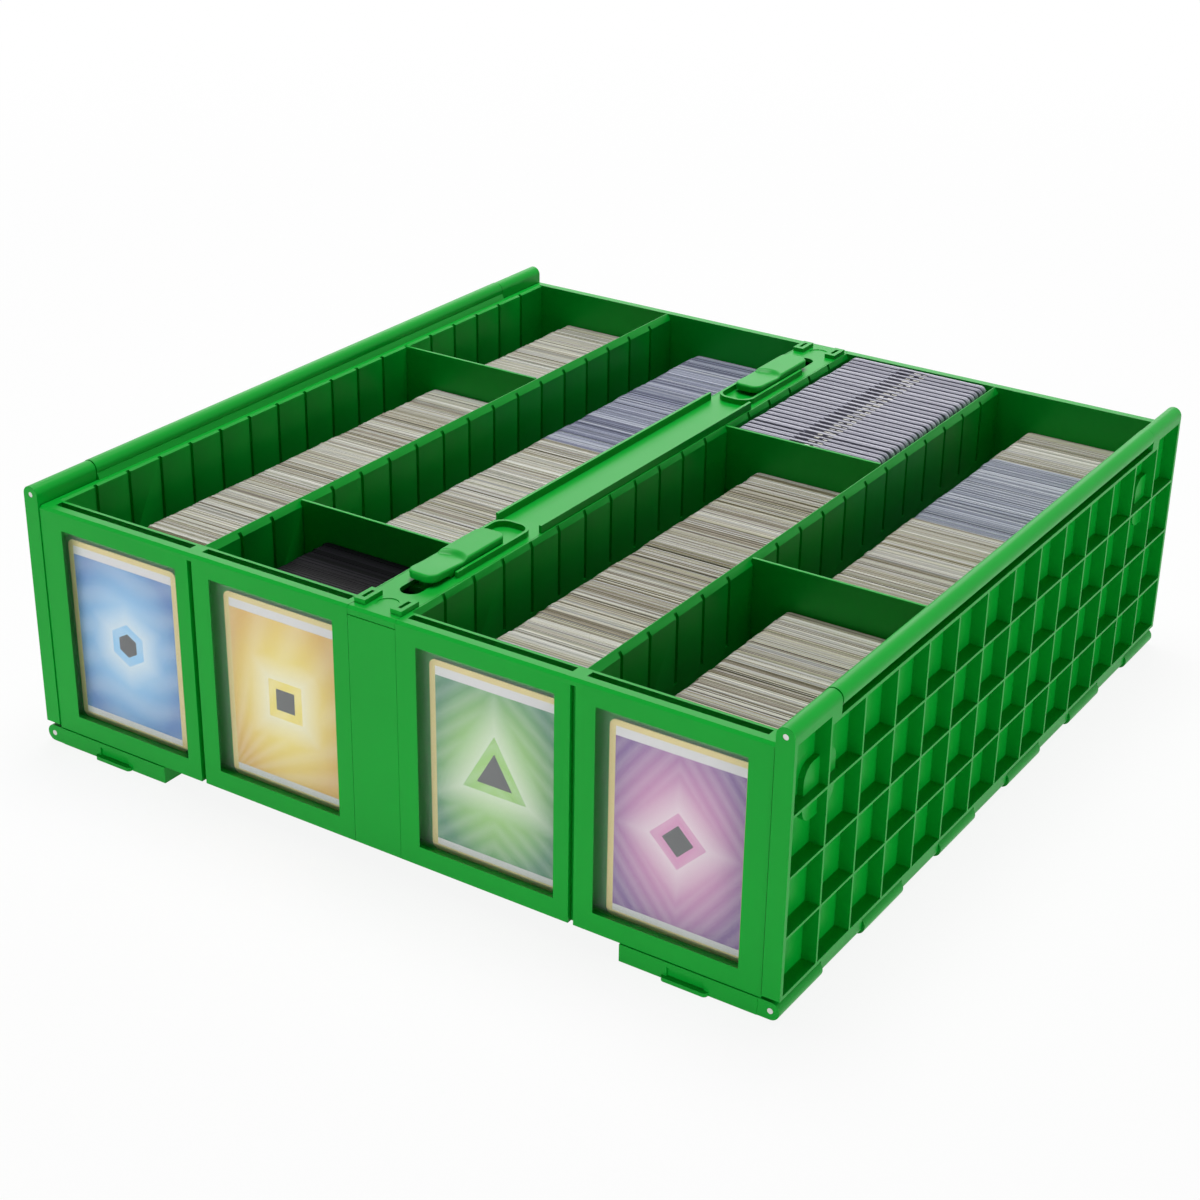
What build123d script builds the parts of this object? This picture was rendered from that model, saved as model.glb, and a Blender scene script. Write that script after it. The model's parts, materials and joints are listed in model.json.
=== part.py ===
from build123d import *
import os

os.makedirs("parts", exist_ok=True)

# Card storage bin: a tub of four card rows, a latched spine and two lids that fold away underneath.
# Sizes are in millimetres. +X is to the right, -Y is the display front, +Z is up, Z = 0 is the table.

# Cards, sleeved cards and rigid holders that the rows are made for
card_width = 63.0
card_height = 88.0
card_corner = 3.0
sleeve_width = 66.0
sleeve_height = 91.0
holder_room = 4.4
holder_height = 107.7
holder_count = 25
holder_notch_width = 0.7
holder_notch_depth = 3.0
stack_gap = 0.4
stack_lift = 0.2

# Tub
row_width = 80.4
row_length = 370.0
row_wall = 4.6
row_bevel_width = 1.5
row_bevel_height = 5.2
side_wall = 4.2
back_wall = 4.0
front_plate = 4.8
label_slot = 3.7
inner_wall = 1.5
floor_thick = 2.3
tub_height = 110.3
spine_width = 28.0
spine_wall = 3.0
spine_bevel_width = 1.2
spine_bevel_height = 4.0

# Divider grooves
groove_bays = 18
groove_width = 2.0
groove_depth = 1.3
groove_length = 33.3

# Display front
window_margin_side = 2.5
window_margin_foot = 2.2
window_margin_top = 9.0
label_slot_inset = 1.0
label_step = 4.6
label_thick = 0.4
label_lift = 0.1
label_gap = 0.2
label_leans = (-0.47, 0.21, 0.18, 0.25)
pane_thick = 1.0
pane_clear = 0.1
pane_side_clear = 0.4
pane_drop = 3.0
front_groove = 2.5
front_groove_drop = 3.0
front_edge_bevel = 1.2

# Dividers
divider_thick = 1.5
divider_clear = 0.3
divider_drop = 3.5
divider_lift = 0.2
divider_grooves = (12, 3, 12, 6)

# Lids, their hinges and pins
knuckle_radius = 4.0
barrel_radius = 4.2
low_leaf_knuckle_radius = 2.8
pin_radius = 1.25
pin_clear = 0.05
pin_end_drop = 0.2
hinge_reach = 4.4
lid_gap = 0.3
lid_overhang = 0.5
lid_edge = 5.6
lid_skin = 1.5
lid_rib = 1.2
lid_end_frame = 2.1
lid_long_frame = 1.6
leaf_columns = 14
leaf_rows = 4
flap_rows = 2
top_knuckle_length = 36.0
top_knuckle_gap = 0.5
low_knuckle_count = 11
low_knuckle_gap = 0.4
web_clear = 0.3
web_slope = 1.5
meet_gap = 1.2
meet_wall_clear = 4.0
spine_clear = 1.0
pad_size = 25.0
pad_corner = 7.0
pad_height = 2.6
pad_column = 1
pocket_head_drop = 3.1
lug_relief = 0.4

# Finger tabs under the ends of the flaps
tab_from_pin = 37.5
tab_width = 21.0
tab_reach = 2.0
tab_thick = 1.8
scoop_depth = 0.8
scoop_height = 4.0

# Room between the tub and the folded flaps that carry it
flap_gap = 0.2

# Spine cover
cover_thick = 2.0
cover_clear = 0.15
cover_seat = 1.0
rail_width = 1.4
rail_height = 3.6
rail_length = 180.0
rim_wall = 1.4
rim_gap = 0.7
rim_height = 2.75
rim_corner = 7.0
rim_outer_setback = 45.5
loop_width = 5.6
loop_length = 11.5
loop_height = 2.1
loop_setback = 4.5
loop_slot_width = 1.6
loop_slot_end = 2.4
loop_slot_depth = 1.8
mark_radius = 4.75
mark_depth = 0.3
mark_setback = 11.0
strip_line_drop = 3.6
strip_line = 0.5

# Sliding latches
knob_length = 58.7
knob_width = 14.4
knob_corner = 5.0
knob_thick = 3.4
knob_rise = 2.0
knob_setback = 28.3
thumb_radius = 8.0
thumb_from_end = 29.0
thumb_step = 1.4
stem_width = 9.0
stem_length = 32.6
stem_setback = 6.1
slot_clear = 0.3
slot_end_clear = 0.5
base_width = 13.2
base_length = 34.0
base_setback = 15.7
base_clear = 0.2
shoe_width = 13.0
shoe_length = 36.0
shoe_thick = 2.6
shoe_clear = 0.3
travel_out = 12.0
travel_in = 12.0
knob_window_clear = 1.0

# Locking tongues on the flaps, which the knobs slide over
tongue_length = 10.0
tongue_thick = 1.6
tongue_wall = 1.5
tongue_clear = 0.1
tongue_gap = 1.5
tongue_side_clear = 0.7
tongue_reach = 5.3

# Heights
lid_thick = 2 * knuckle_radius
tub_bottom = lid_thick + flap_gap
floor_top = tub_bottom + floor_thick
rim = tub_bottom + tub_height
label_floor = floor_top + label_step
axis_low = knuckle_radius
axis_top = rim + lid_gap + knuckle_radius
hinge_span = axis_top - axis_low

# Places across the tub
half_spine = spine_width / 2
inner_row = half_spine + row_width / 2
outer_row = inner_row + row_width + row_wall
row_centres = (-outer_row, -inner_row, inner_row, outer_row)
row_wall_x = half_spine + row_width + row_wall / 2
tub_half = outer_row + row_width / 2 + side_wall
axis_x = tub_half + hinge_reach

# Places from front to back
tub_depth = front_plate + label_slot + inner_wall + row_length + back_wall
front = -tub_depth / 2
back = tub_depth / 2
slot_front = front + front_plate
slot_back = slot_front + label_slot
row_front = slot_back + inner_wall
row_back = row_front + row_length
row_mid = (row_front + row_back) / 2
groove_pitch = row_length / groove_bays
lid_half = back + lid_overhang
lid_length = 2 * lid_half
divider_y = [row_front + groove * groove_pitch for groove in divider_grooves]


def block(low, high, mode=Mode.ADD):
    """A rectangular block between its low and high corners."""
    with BuildSketch(Plane.XY.offset(low[2])) as foot:
        with Locations(((low[0] + high[0]) / 2, (low[1] + high[1]) / 2)):
            Rectangle(high[0] - low[0], high[1] - low[1])
    extrude(foot.sketch, amount=high[2] - low[2], mode=mode)


def along_y(y):
    """The XZ plane at a given Y. An extrusion from it runs towards the front."""
    return Plane.XZ.offset(-y)


def save(piece, name):
    """Label a finished piece and write it."""
    piece.part.label = name
    export_step(piece.part, f"parts/{name}.step")


# Tub: floor, walls, label walls and window frames, which meet without overlapping
slot_width = row_width - 2 * label_slot_inset
window_width = card_width + 2 * window_margin_side
window_foot = label_floor + window_margin_foot
window_rise = rim - window_margin_top - window_foot
window_mid = window_foot + window_rise / 2
spine_inside = half_spine - spine_wall
cover_half = spine_inside + cover_seat
cover_seat_z = rim - cover_thick
seat_half = cover_half + cover_clear
strip_depth = cover_thick + cover_clear
barrel_half = lid_half - top_knuckle_length - top_knuckle_gap
web_half = lid_edge - web_clear
flap_edge = hinge_span + meet_gap
groove_foot = rim - groove_length
side_face = tub_half - side_wall
slot_mid_y = (slot_front + slot_back) / 2


def bevel_front_edge(near_x, far_x):
    """Bevel along the upper front edge, in the block being built."""
    with BuildSketch(Plane.YZ.offset(near_x)) as corner:
        with BuildLine():
            Polyline(
                (front, rim - front_edge_bevel),
                (front, rim),
                (front + front_edge_bevel, rim),
                close=True,
            )
        make_face()
    extrude(corner.sketch, amount=far_x - near_x, mode=Mode.SUBTRACT)


def cut_grooves(x):
    """Divider grooves in the wall face at a given X, in the block being built."""
    with BuildSketch(Plane.XY.offset(groove_foot)) as mouths:
        with Locations((x, row_mid)):
            with GridLocations(groove_pitch, groove_pitch, 1, groove_bays - 1):
                Rectangle(2 * groove_depth, groove_width)
    extrude(mouths.sketch, amount=groove_length, mode=Mode.SUBTRACT)


# Floor, which stands on the folded flaps
with BuildPart() as tub_floor:
    block((-tub_half, slot_front, tub_bottom), (tub_half, back, floor_top))
    # Recess for the rear strip of the spine cover
    block((-seat_half, back - strip_depth, tub_bottom), (seat_half, back, floor_top), Mode.SUBTRACT)
save(tub_floor, "tub_floor")

with BuildPart() as back_panel:
    block((-tub_half, row_back, floor_top), (tub_half, back, rim))
    # Recess for the rear strip of the spine cover and the seat of its plate
    block((-seat_half, back - strip_depth, floor_top), (seat_half, back, rim), Mode.SUBTRACT)
    block((-seat_half, row_back, cover_seat_z), (seat_half, back, rim), Mode.SUBTRACT)
save(back_panel, "back_panel")

# Side wall with its hinge barrel on a sloped web
with BuildPart() as right_side_wall:
    with BuildSketch(along_y(row_back)):
        with BuildLine():
            Polyline(
                (side_face, floor_top),
                (tub_half, floor_top),
                (tub_half, rim),
                (side_face + row_bevel_width, rim),
                (side_face, rim - row_bevel_height),
                close=True,
            )
        make_face()
    extrude(amount=row_length)
    cut_grooves(side_face)
    with BuildSketch(along_y(barrel_half)):
        with Locations((axis_x, axis_top)):
            Circle(barrel_radius)
        with BuildLine():
            Polyline(
                (axis_x - web_half, axis_top - web_half),
                (axis_x - web_half, rim),
                (axis_x - barrel_radius, axis_top - web_slope),
                (axis_x, axis_top),
                (axis_x - barrel_radius + web_slope, axis_top - web_half),
                close=True,
            )
        make_face()
    extrude(amount=2 * barrel_half)
    with BuildSketch(along_y(barrel_half)):
        with Locations((axis_x, axis_top)):
            Circle(pin_radius + pin_clear)
    extrude(amount=2 * barrel_half, mode=Mode.SUBTRACT)
save(right_side_wall, "right_side_wall")

with BuildPart() as left_side_wall:
    mirror(right_side_wall.part, about=Plane.YZ)
save(left_side_wall, "left_side_wall")

# Wall between two rows, bevelled along both sides of its top
with BuildPart() as right_row_wall:
    with BuildSketch(along_y(row_back)):
        with BuildLine():
            Polyline(
                (row_wall_x - row_wall / 2, floor_top),
                (row_wall_x + row_wall / 2, floor_top),
                (row_wall_x + row_wall / 2, rim - row_bevel_height),
                (row_wall_x + row_wall / 2 - row_bevel_width, rim),
                (row_wall_x - row_wall / 2 + row_bevel_width, rim),
                (row_wall_x - row_wall / 2, rim - row_bevel_height),
                close=True,
            )
        make_face()
    extrude(amount=row_length)
    cut_grooves(row_wall_x - row_wall / 2)
    cut_grooves(row_wall_x + row_wall / 2)
save(right_row_wall, "right_row_wall")

with BuildPart() as left_row_wall:
    mirror(right_row_wall.part, about=Plane.YZ)
save(left_row_wall, "left_row_wall")

# Wall of the hollow spine, with a seat for the cover
with BuildPart() as right_spine_wall:
    with BuildSketch(along_y(row_back)):
        with BuildLine():
            Polyline(
                (spine_inside, floor_top),
                (half_spine, floor_top),
                (half_spine, rim - spine_bevel_height),
                (half_spine - spine_bevel_width, rim),
                (seat_half, rim),
                (seat_half, cover_seat_z),
                (spine_inside, cover_seat_z),
                close=True,
            )
        make_face()
    extrude(amount=row_length)
    cut_grooves(half_spine)
save(right_spine_wall, "right_spine_wall")

with BuildPart() as left_spine_wall:
    mirror(right_spine_wall.part, about=Plane.YZ)
save(left_spine_wall, "left_spine_wall")

# Wall behind the window frames, with an open-topped label slot for each row
with BuildPart() as right_label_wall:
    block((spine_inside, slot_front, floor_top), (tub_half, row_front, rim))
    with BuildSketch(Plane.XY.offset(label_floor)):
        with Locations((inner_row, slot_mid_y), (outer_row, slot_mid_y)):
            Rectangle(slot_width, label_slot)
    extrude(amount=rim - label_floor, mode=Mode.SUBTRACT)
    block((spine_inside, slot_front, cover_seat_z), (seat_half, row_front, rim), Mode.SUBTRACT)
save(right_label_wall, "right_label_wall")

with BuildPart() as left_label_wall:
    mirror(right_label_wall.part, about=Plane.YZ)
save(left_label_wall, "left_label_wall")

# Window frames, parted by grooves in line with the row walls
groove_edge = front_groove / 2
with BuildPart() as row_3_window_frame:
    block((0, front, tub_bottom), (row_wall_x, slot_front, rim))
    with BuildSketch(along_y(slot_front)):
        with Locations((inner_row, window_mid)):
            Rectangle(window_width, window_rise)
    extrude(amount=front_plate, mode=Mode.SUBTRACT)
    block(
        (row_wall_x - groove_edge, front, tub_bottom),
        (row_wall_x, front + front_groove, rim - front_groove_drop),
        Mode.SUBTRACT,
    )
    bevel_front_edge(0, row_wall_x)
    # Recess for the front strip of the spine cover and the seat of its plate
    block((0, front, tub_bottom), (seat_half, front + strip_depth, rim), Mode.SUBTRACT)
    block((0, front, cover_seat_z), (seat_half, slot_front, rim), Mode.SUBTRACT)
save(row_3_window_frame, "row_3_window_frame")

with BuildPart() as row_2_window_frame:
    mirror(row_3_window_frame.part, about=Plane.YZ)
save(row_2_window_frame, "row_2_window_frame")

with BuildPart() as row_4_window_frame:
    block((row_wall_x, front, tub_bottom), (tub_half, slot_front, rim))
    with BuildSketch(along_y(slot_front)):
        with Locations((outer_row, window_mid)):
            Rectangle(window_width, window_rise)
    extrude(amount=front_plate, mode=Mode.SUBTRACT)
    block(
        (row_wall_x, front, tub_bottom),
        (row_wall_x + groove_edge, front + front_groove, rim - front_groove_drop),
        Mode.SUBTRACT,
    )
    bevel_front_edge(row_wall_x, tub_half)
save(row_4_window_frame, "row_4_window_frame")

with BuildPart() as row_1_window_frame:
    mirror(row_4_window_frame.part, about=Plane.YZ)
save(row_1_window_frame, "row_1_window_frame")

# Latch places along the spine, counted inward from the front
knob_outer = front + knob_setback
knob_mid = knob_outer + knob_length / 2
knob_inner = knob_outer + knob_length
stem_outer = knob_outer + stem_setback
stem_inner = stem_outer + stem_length
slot_outer = stem_outer - travel_out - slot_end_clear
slot_inner = stem_inner + travel_in + slot_end_clear
slot_mid = (slot_outer + slot_inner) / 2
knob_low = rim + knob_rise
knob_top = knob_low + knob_thick

# Spine cover: top plate with front and rear strips, latch slots, rims, rails and loops
rim_half = knob_width / 2 + rim_gap + rim_wall
rim_inner_half = rim_half - rim_wall
rim_outer_y = front + rim_outer_setback
rim_inner_y = knob_inner + travel_in + rim_gap + rim_wall
rim_start_y = rim_outer_y - rim_corner
rim_length = rim_inner_y - rim_start_y

with BuildPart() as spine_cover:
    block((-cover_half, front, cover_seat_z), (cover_half, back, rim))
    block((-cover_half, front, tub_bottom), (cover_half, front + cover_thick, rim))
    block((-cover_half, back - cover_thick, tub_bottom), (cover_half, back, rim))
    bevel_front_edge(-cover_half, cover_half)
    # Line across the front strip, under the edge of the top plate
    block(
        (-cover_half, front, rim - strip_line_drop - strip_line),
        (cover_half, front + strip_line, rim - strip_line_drop),
        Mode.SUBTRACT,
    )
    # Raised rims that the knobs back into, open towards the front and the back
    for end in (-1, 1):
        with BuildSketch(Plane.XY.offset(rim)):
            with Locations((0, -end * (rim_start_y + rim_length / 2))):
                RectangleRounded(2 * rim_half, rim_length, rim_corner)
                RectangleRounded(
                    2 * rim_inner_half,
                    rim_length - 2 * rim_wall,
                    rim_corner - rim_wall,
                    mode=Mode.SUBTRACT,
                )
            with Locations((0, -end * (rim_start_y + rim_corner / 2))):
                Rectangle(2 * rim_half, rim_corner, mode=Mode.SUBTRACT)
        extrude(amount=rim_height)
    # Rails along both edges
    for side in (-1, 1):
        block(
            (side * (cover_half - rail_width / 2) - rail_width / 2, -rail_length / 2, rim),
            (side * (cover_half - rail_width / 2) + rail_width / 2, rail_length / 2, rim + rail_height),
        )
    # Loops at the four corners, slotted from above
    loop_x = cover_half - loop_width / 2
    loop_y = back - loop_setback - loop_length / 2
    with BuildSketch(Plane.XY.offset(rim)):
        with GridLocations(2 * loop_x, 2 * loop_y, 2, 2):
            Rectangle(loop_width, loop_length)
    extrude(amount=loop_height)
    with BuildSketch(Plane.XY.offset(rim + loop_height)):
        with GridLocations(2 * loop_x, 2 * loop_y, 2, 2):
            Rectangle(loop_slot_width, loop_length - 2 * loop_slot_end)
    extrude(amount=-loop_slot_depth, mode=Mode.SUBTRACT)
    # Round marks between the loops
    with BuildSketch(Plane.XY.offset(rim)):
        with GridLocations(cover_half, 2 * (back - mark_setback), 1, 2):
            Circle(mark_radius)
    extrude(amount=-mark_depth, mode=Mode.SUBTRACT)
    # Latch slots
    with BuildSketch(Plane.XY.offset(cover_seat_z)):
        with GridLocations(cover_half, 2 * slot_mid, 1, 2):
            SlotOverall(slot_inner - slot_outer, stem_width + 2 * slot_clear, rotation=90)
    extrude(amount=cover_thick, mode=Mode.SUBTRACT)
save(spine_cover, "spine_cover")

# Front latch: shoe under the cover, stem through its slot, base on it and the thumb knob
shoe_top = cover_seat_z - shoe_clear
base_outer = knob_outer + base_setback

with BuildPart() as front_latch:
    with BuildSketch(Plane.XY.offset(shoe_top)):
        with Locations((0, (stem_outer + stem_inner) / 2)):
            Rectangle(shoe_width, shoe_length)
    extrude(amount=-shoe_thick)
    with BuildSketch(Plane.XY.offset(shoe_top)):
        with Locations((0, (stem_outer + stem_inner) / 2)):
            SlotOverall(stem_length, stem_width, rotation=90)
    extrude(amount=knob_low - shoe_top)
    with BuildSketch(Plane.XY.offset(rim + base_clear)):
        with Locations((0, base_outer + base_length / 2)):
            Rectangle(base_width, base_length)
    extrude(amount=knob_rise - base_clear)
    with BuildSketch(Plane.XY.offset(knob_low)):
        with Locations((0, knob_mid)):
            RectangleRounded(knob_width, knob_length, knob_corner)
    extrude(amount=knob_thick)
    # Lower nose for the thumb, ending in a curved step
    thumb_y = knob_outer + thumb_from_end - thumb_radius
    with BuildSketch(Plane.XY.offset(knob_top)):
        with Locations((0, (knob_outer + thumb_y) / 2)):
            Rectangle(knob_width, thumb_y - knob_outer)
        with Locations((0, thumb_y)):
            Circle(thumb_radius)
    extrude(amount=-thumb_step, mode=Mode.SUBTRACT)
save(front_latch, "front_latch")

with BuildPart() as rear_latch:
    mirror(front_latch.part, about=Plane.XZ)
save(rear_latch, "rear_latch")

# Right lid leaf, hanging beside the tub: ribs outside, smooth face inside, knuckles above and below
smooth_x = axis_x - knuckle_radius
leaf_top = axis_top - lid_edge
leaf_bottom = axis_low + lid_edge
leaf_height = leaf_top - leaf_bottom
leaf_mid = (leaf_top + leaf_bottom) / 2
leaf_pitch_y = (lid_length - 2 * lid_end_frame + lid_rib) / leaf_columns
leaf_pitch_z = (leaf_height - 2 * lid_long_frame + lid_rib) / leaf_rows
pad_y = (leaf_columns / 2 - pad_column) * leaf_pitch_y
pad_z = leaf_mid + leaf_pitch_z * (leaf_rows / 2 - 1)
low_knuckle = lid_length / low_knuckle_count
lug_hole = 2 * (pin_radius + lug_relief)

with BuildPart() as right_lid_leaf:
    with BuildSketch(Plane.YZ.offset(smooth_x)):
        with Locations((0, leaf_mid)):
            Rectangle(lid_length, leaf_height)
    extrude(amount=lid_thick)
    # Pockets between the ribs
    with BuildSketch(Plane.YZ.offset(smooth_x + lid_skin)):
        with Locations((0, leaf_mid)):
            with GridLocations(leaf_pitch_y, leaf_pitch_z, leaf_columns, leaf_rows):
                Rectangle(leaf_pitch_y - lid_rib, leaf_pitch_z - lid_rib)
    extrude(amount=lid_thick - lid_skin, mode=Mode.SUBTRACT)
    # Rounded pads behind the crossings of the ribs near both ends
    with BuildSketch(Plane.YZ.offset(smooth_x + lid_skin)):
        with Locations((-pad_y, pad_z), (pad_y, pad_z)):
            RectangleRounded(pad_size, pad_size, pad_corner)
    extrude(amount=pad_height)
    # End knuckles on the upper pin
    for y in (lid_half, top_knuckle_length - lid_half):
        with BuildSketch(along_y(y)):
            with Locations((axis_x, (leaf_top + axis_top) / 2)):
                Rectangle(lid_thick, lid_edge)
            with Locations((axis_x, axis_top)):
                Circle(knuckle_radius)
        extrude(amount=top_knuckle_length)
    # Pockets of the end columns, carried up under the knuckles
    pocket_end = lid_half - lid_end_frame
    pocket_head = axis_top - pocket_head_drop
    for y in (-pocket_end, pocket_end - leaf_pitch_y + lid_rib):
        block(
            (smooth_x + lid_skin, y, leaf_top - lid_long_frame),
            (smooth_x + lid_thick, y + leaf_pitch_y - lid_rib, pocket_head),
            Mode.SUBTRACT,
        )
    # Every second knuckle on the lower pin
    for place in range(1, low_knuckle_count, 2):
        with BuildSketch(along_y((place + 1) * low_knuckle - lid_half - low_knuckle_gap / 2)):
            with Locations((axis_x, (leaf_bottom + axis_low) / 2)):
                Rectangle(2 * low_leaf_knuckle_radius, lid_edge)
            with Locations((axis_x, axis_low)):
                Circle(low_leaf_knuckle_radius)
        extrude(amount=low_knuckle - low_knuckle_gap)
    # Bores that grip the upper pin, and the lower pin in the two outermost lugs
    with BuildSketch(along_y(lid_half)):
        with Locations((axis_x, axis_top), (axis_x, axis_low)):
            Circle(pin_radius)
    extrude(amount=lid_length, mode=Mode.SUBTRACT)
    # Square reliefs in the lugs between
    with BuildSketch(along_y(lid_half - 2 * low_knuckle)):
        with Locations((axis_x, axis_low)):
            Rectangle(lug_hole, lug_hole)
    extrude(amount=lid_length - 4 * low_knuckle, mode=Mode.SUBTRACT)
save(right_lid_leaf, "right_lid_leaf")

with BuildPart() as left_lid_leaf:
    mirror(right_lid_leaf.part, about=Plane.YZ)
save(left_lid_leaf, "left_lid_leaf")

# Right lid flap, folded under the tub with its smooth face up
flap_hinge_edge = axis_x - lid_edge
flap_margin = half_spine + spine_clear - meet_gap
flap_rib_edge = flap_edge + flap_margin
flap_pitch_x = (flap_hinge_edge - flap_rib_edge - lid_long_frame) / flap_rows
knob_window_outer = knob_outer - travel_out - knob_window_clear
knob_window_inner = knob_inner + travel_in + knob_window_clear
knob_window_mid = (knob_window_outer + knob_window_inner) / 2
tongue_outer = knob_outer - tongue_gap - tongue_length
tongue_inner_x = hinge_span + stem_width / 2 + tongue_side_clear
tongue_wall_x = tongue_inner_x + tongue_reach

with BuildPart() as right_lid_flap:
    block((flap_edge, -lid_half, 0), (flap_hinge_edge, lid_half, lid_thick))
    # Pockets between the ribs
    with BuildSketch(Plane.XY):
        with Locations(((flap_rib_edge + flap_hinge_edge - lid_long_frame + lid_rib) / 2, 0)):
            with GridLocations(flap_pitch_x, leaf_pitch_y, flap_rows, leaf_columns):
                Rectangle(flap_pitch_x - lid_rib, leaf_pitch_y - lid_rib)
    extrude(amount=lid_thick - lid_skin, mode=Mode.SUBTRACT)
    # Rib-free margin that closes over the spine, with half of each knob window
    block(
        (flap_edge, lid_end_frame - lid_half, 0),
        (flap_rib_edge, lid_half - lid_end_frame, lid_thick - lid_skin),
        Mode.SUBTRACT,
    )
    with BuildSketch(Plane.XY.offset(lid_thick - lid_skin)):
        with Locations((hinge_span, 0)):
            with GridLocations(knob_width, 2 * knob_window_mid, 1, 2):
                SlotOverall(
                    knob_window_inner - knob_window_outer,
                    knob_width + 2 * knob_window_clear,
                    rotation=90,
                )
    extrude(amount=lid_skin, mode=Mode.SUBTRACT)
    # Wall along the meeting edge, left open at the knob windows
    meet_wall_x = flap_edge + lid_long_frame
    meet_wall_inner = -knob_window_inner - meet_wall_clear
    block((flap_edge, -meet_wall_inner, 0), (meet_wall_x, meet_wall_inner, lid_thick - lid_skin))
    for y in (-lid_half, -knob_window_outer):
        block(
            (flap_edge, y, 0),
            (meet_wall_x, y + lid_half + knob_window_outer, lid_thick - lid_skin),
        )
    # Locking tongues
    for y in (tongue_outer, -tongue_outer - tongue_length):
        block(
            (tongue_inner_x, y, tongue_clear),
            (tongue_wall_x + tongue_wall, y + tongue_length, tongue_clear + tongue_thick),
        )
        block(
            (tongue_wall_x, y, tongue_clear),
            (tongue_wall_x + tongue_wall, y + tongue_length, lid_thick - lid_skin),
        )
    # Finger tabs with a shallow scoop over each
    tab_x = axis_x - tab_from_pin
    with BuildSketch(Plane.XY):
        with Locations((tab_x, -lid_half), (tab_x, lid_half)):
            RectangleRounded(tab_width, 2 * tab_reach, 0.9 * tab_reach)
    extrude(amount=tab_thick)
    for y in (lid_half, scoop_depth - lid_half):
        with BuildSketch(along_y(y)):
            with Locations((tab_x, tab_thick + scoop_height / 2)):
                Rectangle(tab_width - 2 * tab_reach, scoop_height)
        extrude(amount=scoop_depth, mode=Mode.SUBTRACT)
    # Every second knuckle on the lower pin, both ends among them
    for place in range(0, low_knuckle_count, 2):
        with BuildSketch(along_y((place + 1) * low_knuckle - lid_half - low_knuckle_gap / 2)):
            with Locations(((flap_hinge_edge + axis_x) / 2, axis_low)):
                Rectangle(lid_edge, lid_thick)
            with Locations((axis_x, axis_low)):
                Circle(knuckle_radius)
        extrude(amount=low_knuckle - low_knuckle_gap)
    # Bores of the end knuckles, which turn on the lower pin
    for y in (lid_half, low_knuckle - lid_half):
        with BuildSketch(along_y(y)):
            with Locations((axis_x, axis_low)):
                Circle(pin_radius + pin_clear)
        extrude(amount=low_knuckle, mode=Mode.SUBTRACT)
    # Square reliefs in the knuckles between
    with BuildSketch(along_y(lid_half - low_knuckle)):
        with Locations((axis_x, axis_low)):
            Rectangle(lug_hole, lug_hole)
    extrude(amount=lid_length - 2 * low_knuckle, mode=Mode.SUBTRACT)
save(right_lid_flap, "right_lid_flap")

with BuildPart() as left_lid_flap:
    mirror(right_lid_flap.part, about=Plane.YZ)
save(left_lid_flap, "left_lid_flap")

# Hinge pins
pin_half = lid_half - pin_end_drop
for side_name, side in (("left", -1), ("right", 1)):
    for level_name, level in (("upper", axis_top), ("lower", axis_low)):
        with BuildPart() as hinge_pin:
            with BuildSketch(along_y(pin_half)):
                with Locations((side * axis_x, level)):
                    Circle(pin_radius)
            extrude(amount=2 * pin_half)
        save(hinge_pin, f"{side_name}_{level_name}_hinge_pin")

# Dividers, each hung by its ears in one pair of grooves
divider_foot = floor_top + divider_lift
divider_top = rim - divider_drop
divider_shoulder = groove_foot + divider_clear
for row, centre in enumerate(row_centres):
    with BuildPart() as row_divider:
        with BuildSketch(along_y(divider_y[row] + divider_thick / 2)):
            with Locations((centre, (divider_foot + divider_top) / 2)):
                Rectangle(row_width - 2 * divider_clear, divider_top - divider_foot)
            with Locations((centre, (divider_shoulder + divider_top) / 2)):
                Rectangle(row_width + 2 * (groove_depth - divider_clear), divider_top - divider_shoulder)
        extrude(amount=divider_thick)
    save(row_divider, f"row_{row + 1}_divider")

# Clear window panes and the cards displayed behind them
pane_back = slot_front + pane_clear + pane_thick
pane_foot = label_floor + pane_clear
pane_rise = rim - pane_drop - pane_foot
label_back = pane_back + label_gap + label_thick
label_play = (slot_width - card_width) / 2
label_foot = label_floor + label_lift
for row, centre in enumerate(row_centres):
    with BuildPart() as window_pane:
        with BuildSketch(along_y(pane_back)):
            with Locations((centre, pane_foot + pane_rise / 2)):
                Rectangle(slot_width - 2 * pane_side_clear, pane_rise)
        extrude(amount=pane_thick)
    save(window_pane, f"row_{row + 1}_window_pane")
    with BuildPart() as display_card:
        with BuildSketch(along_y(label_back)):
            with Locations((centre + label_leans[row] * label_play, label_foot + card_height / 2)):
                RectangleRounded(card_width, card_height, card_corner)
        extrude(amount=label_thick)
    save(display_card, f"row_{row + 1}_display_card")

# Card stacks, each standing on the floor of its row against the right wall
violet_stack = 147.5
blue_stack = 87.5
last_stack = 42.0
stack_front = row_front + stack_gap
stack_back = row_back - stack_gap
before_divider = [y - divider_thick / 2 - stack_gap for y in divider_y]
behind_divider = [y + divider_thick / 2 + stack_gap for y in divider_y]
violet_front = stack_back - violet_stack
last_front = stack_back - last_stack
blue_front = last_front - blue_stack

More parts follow.
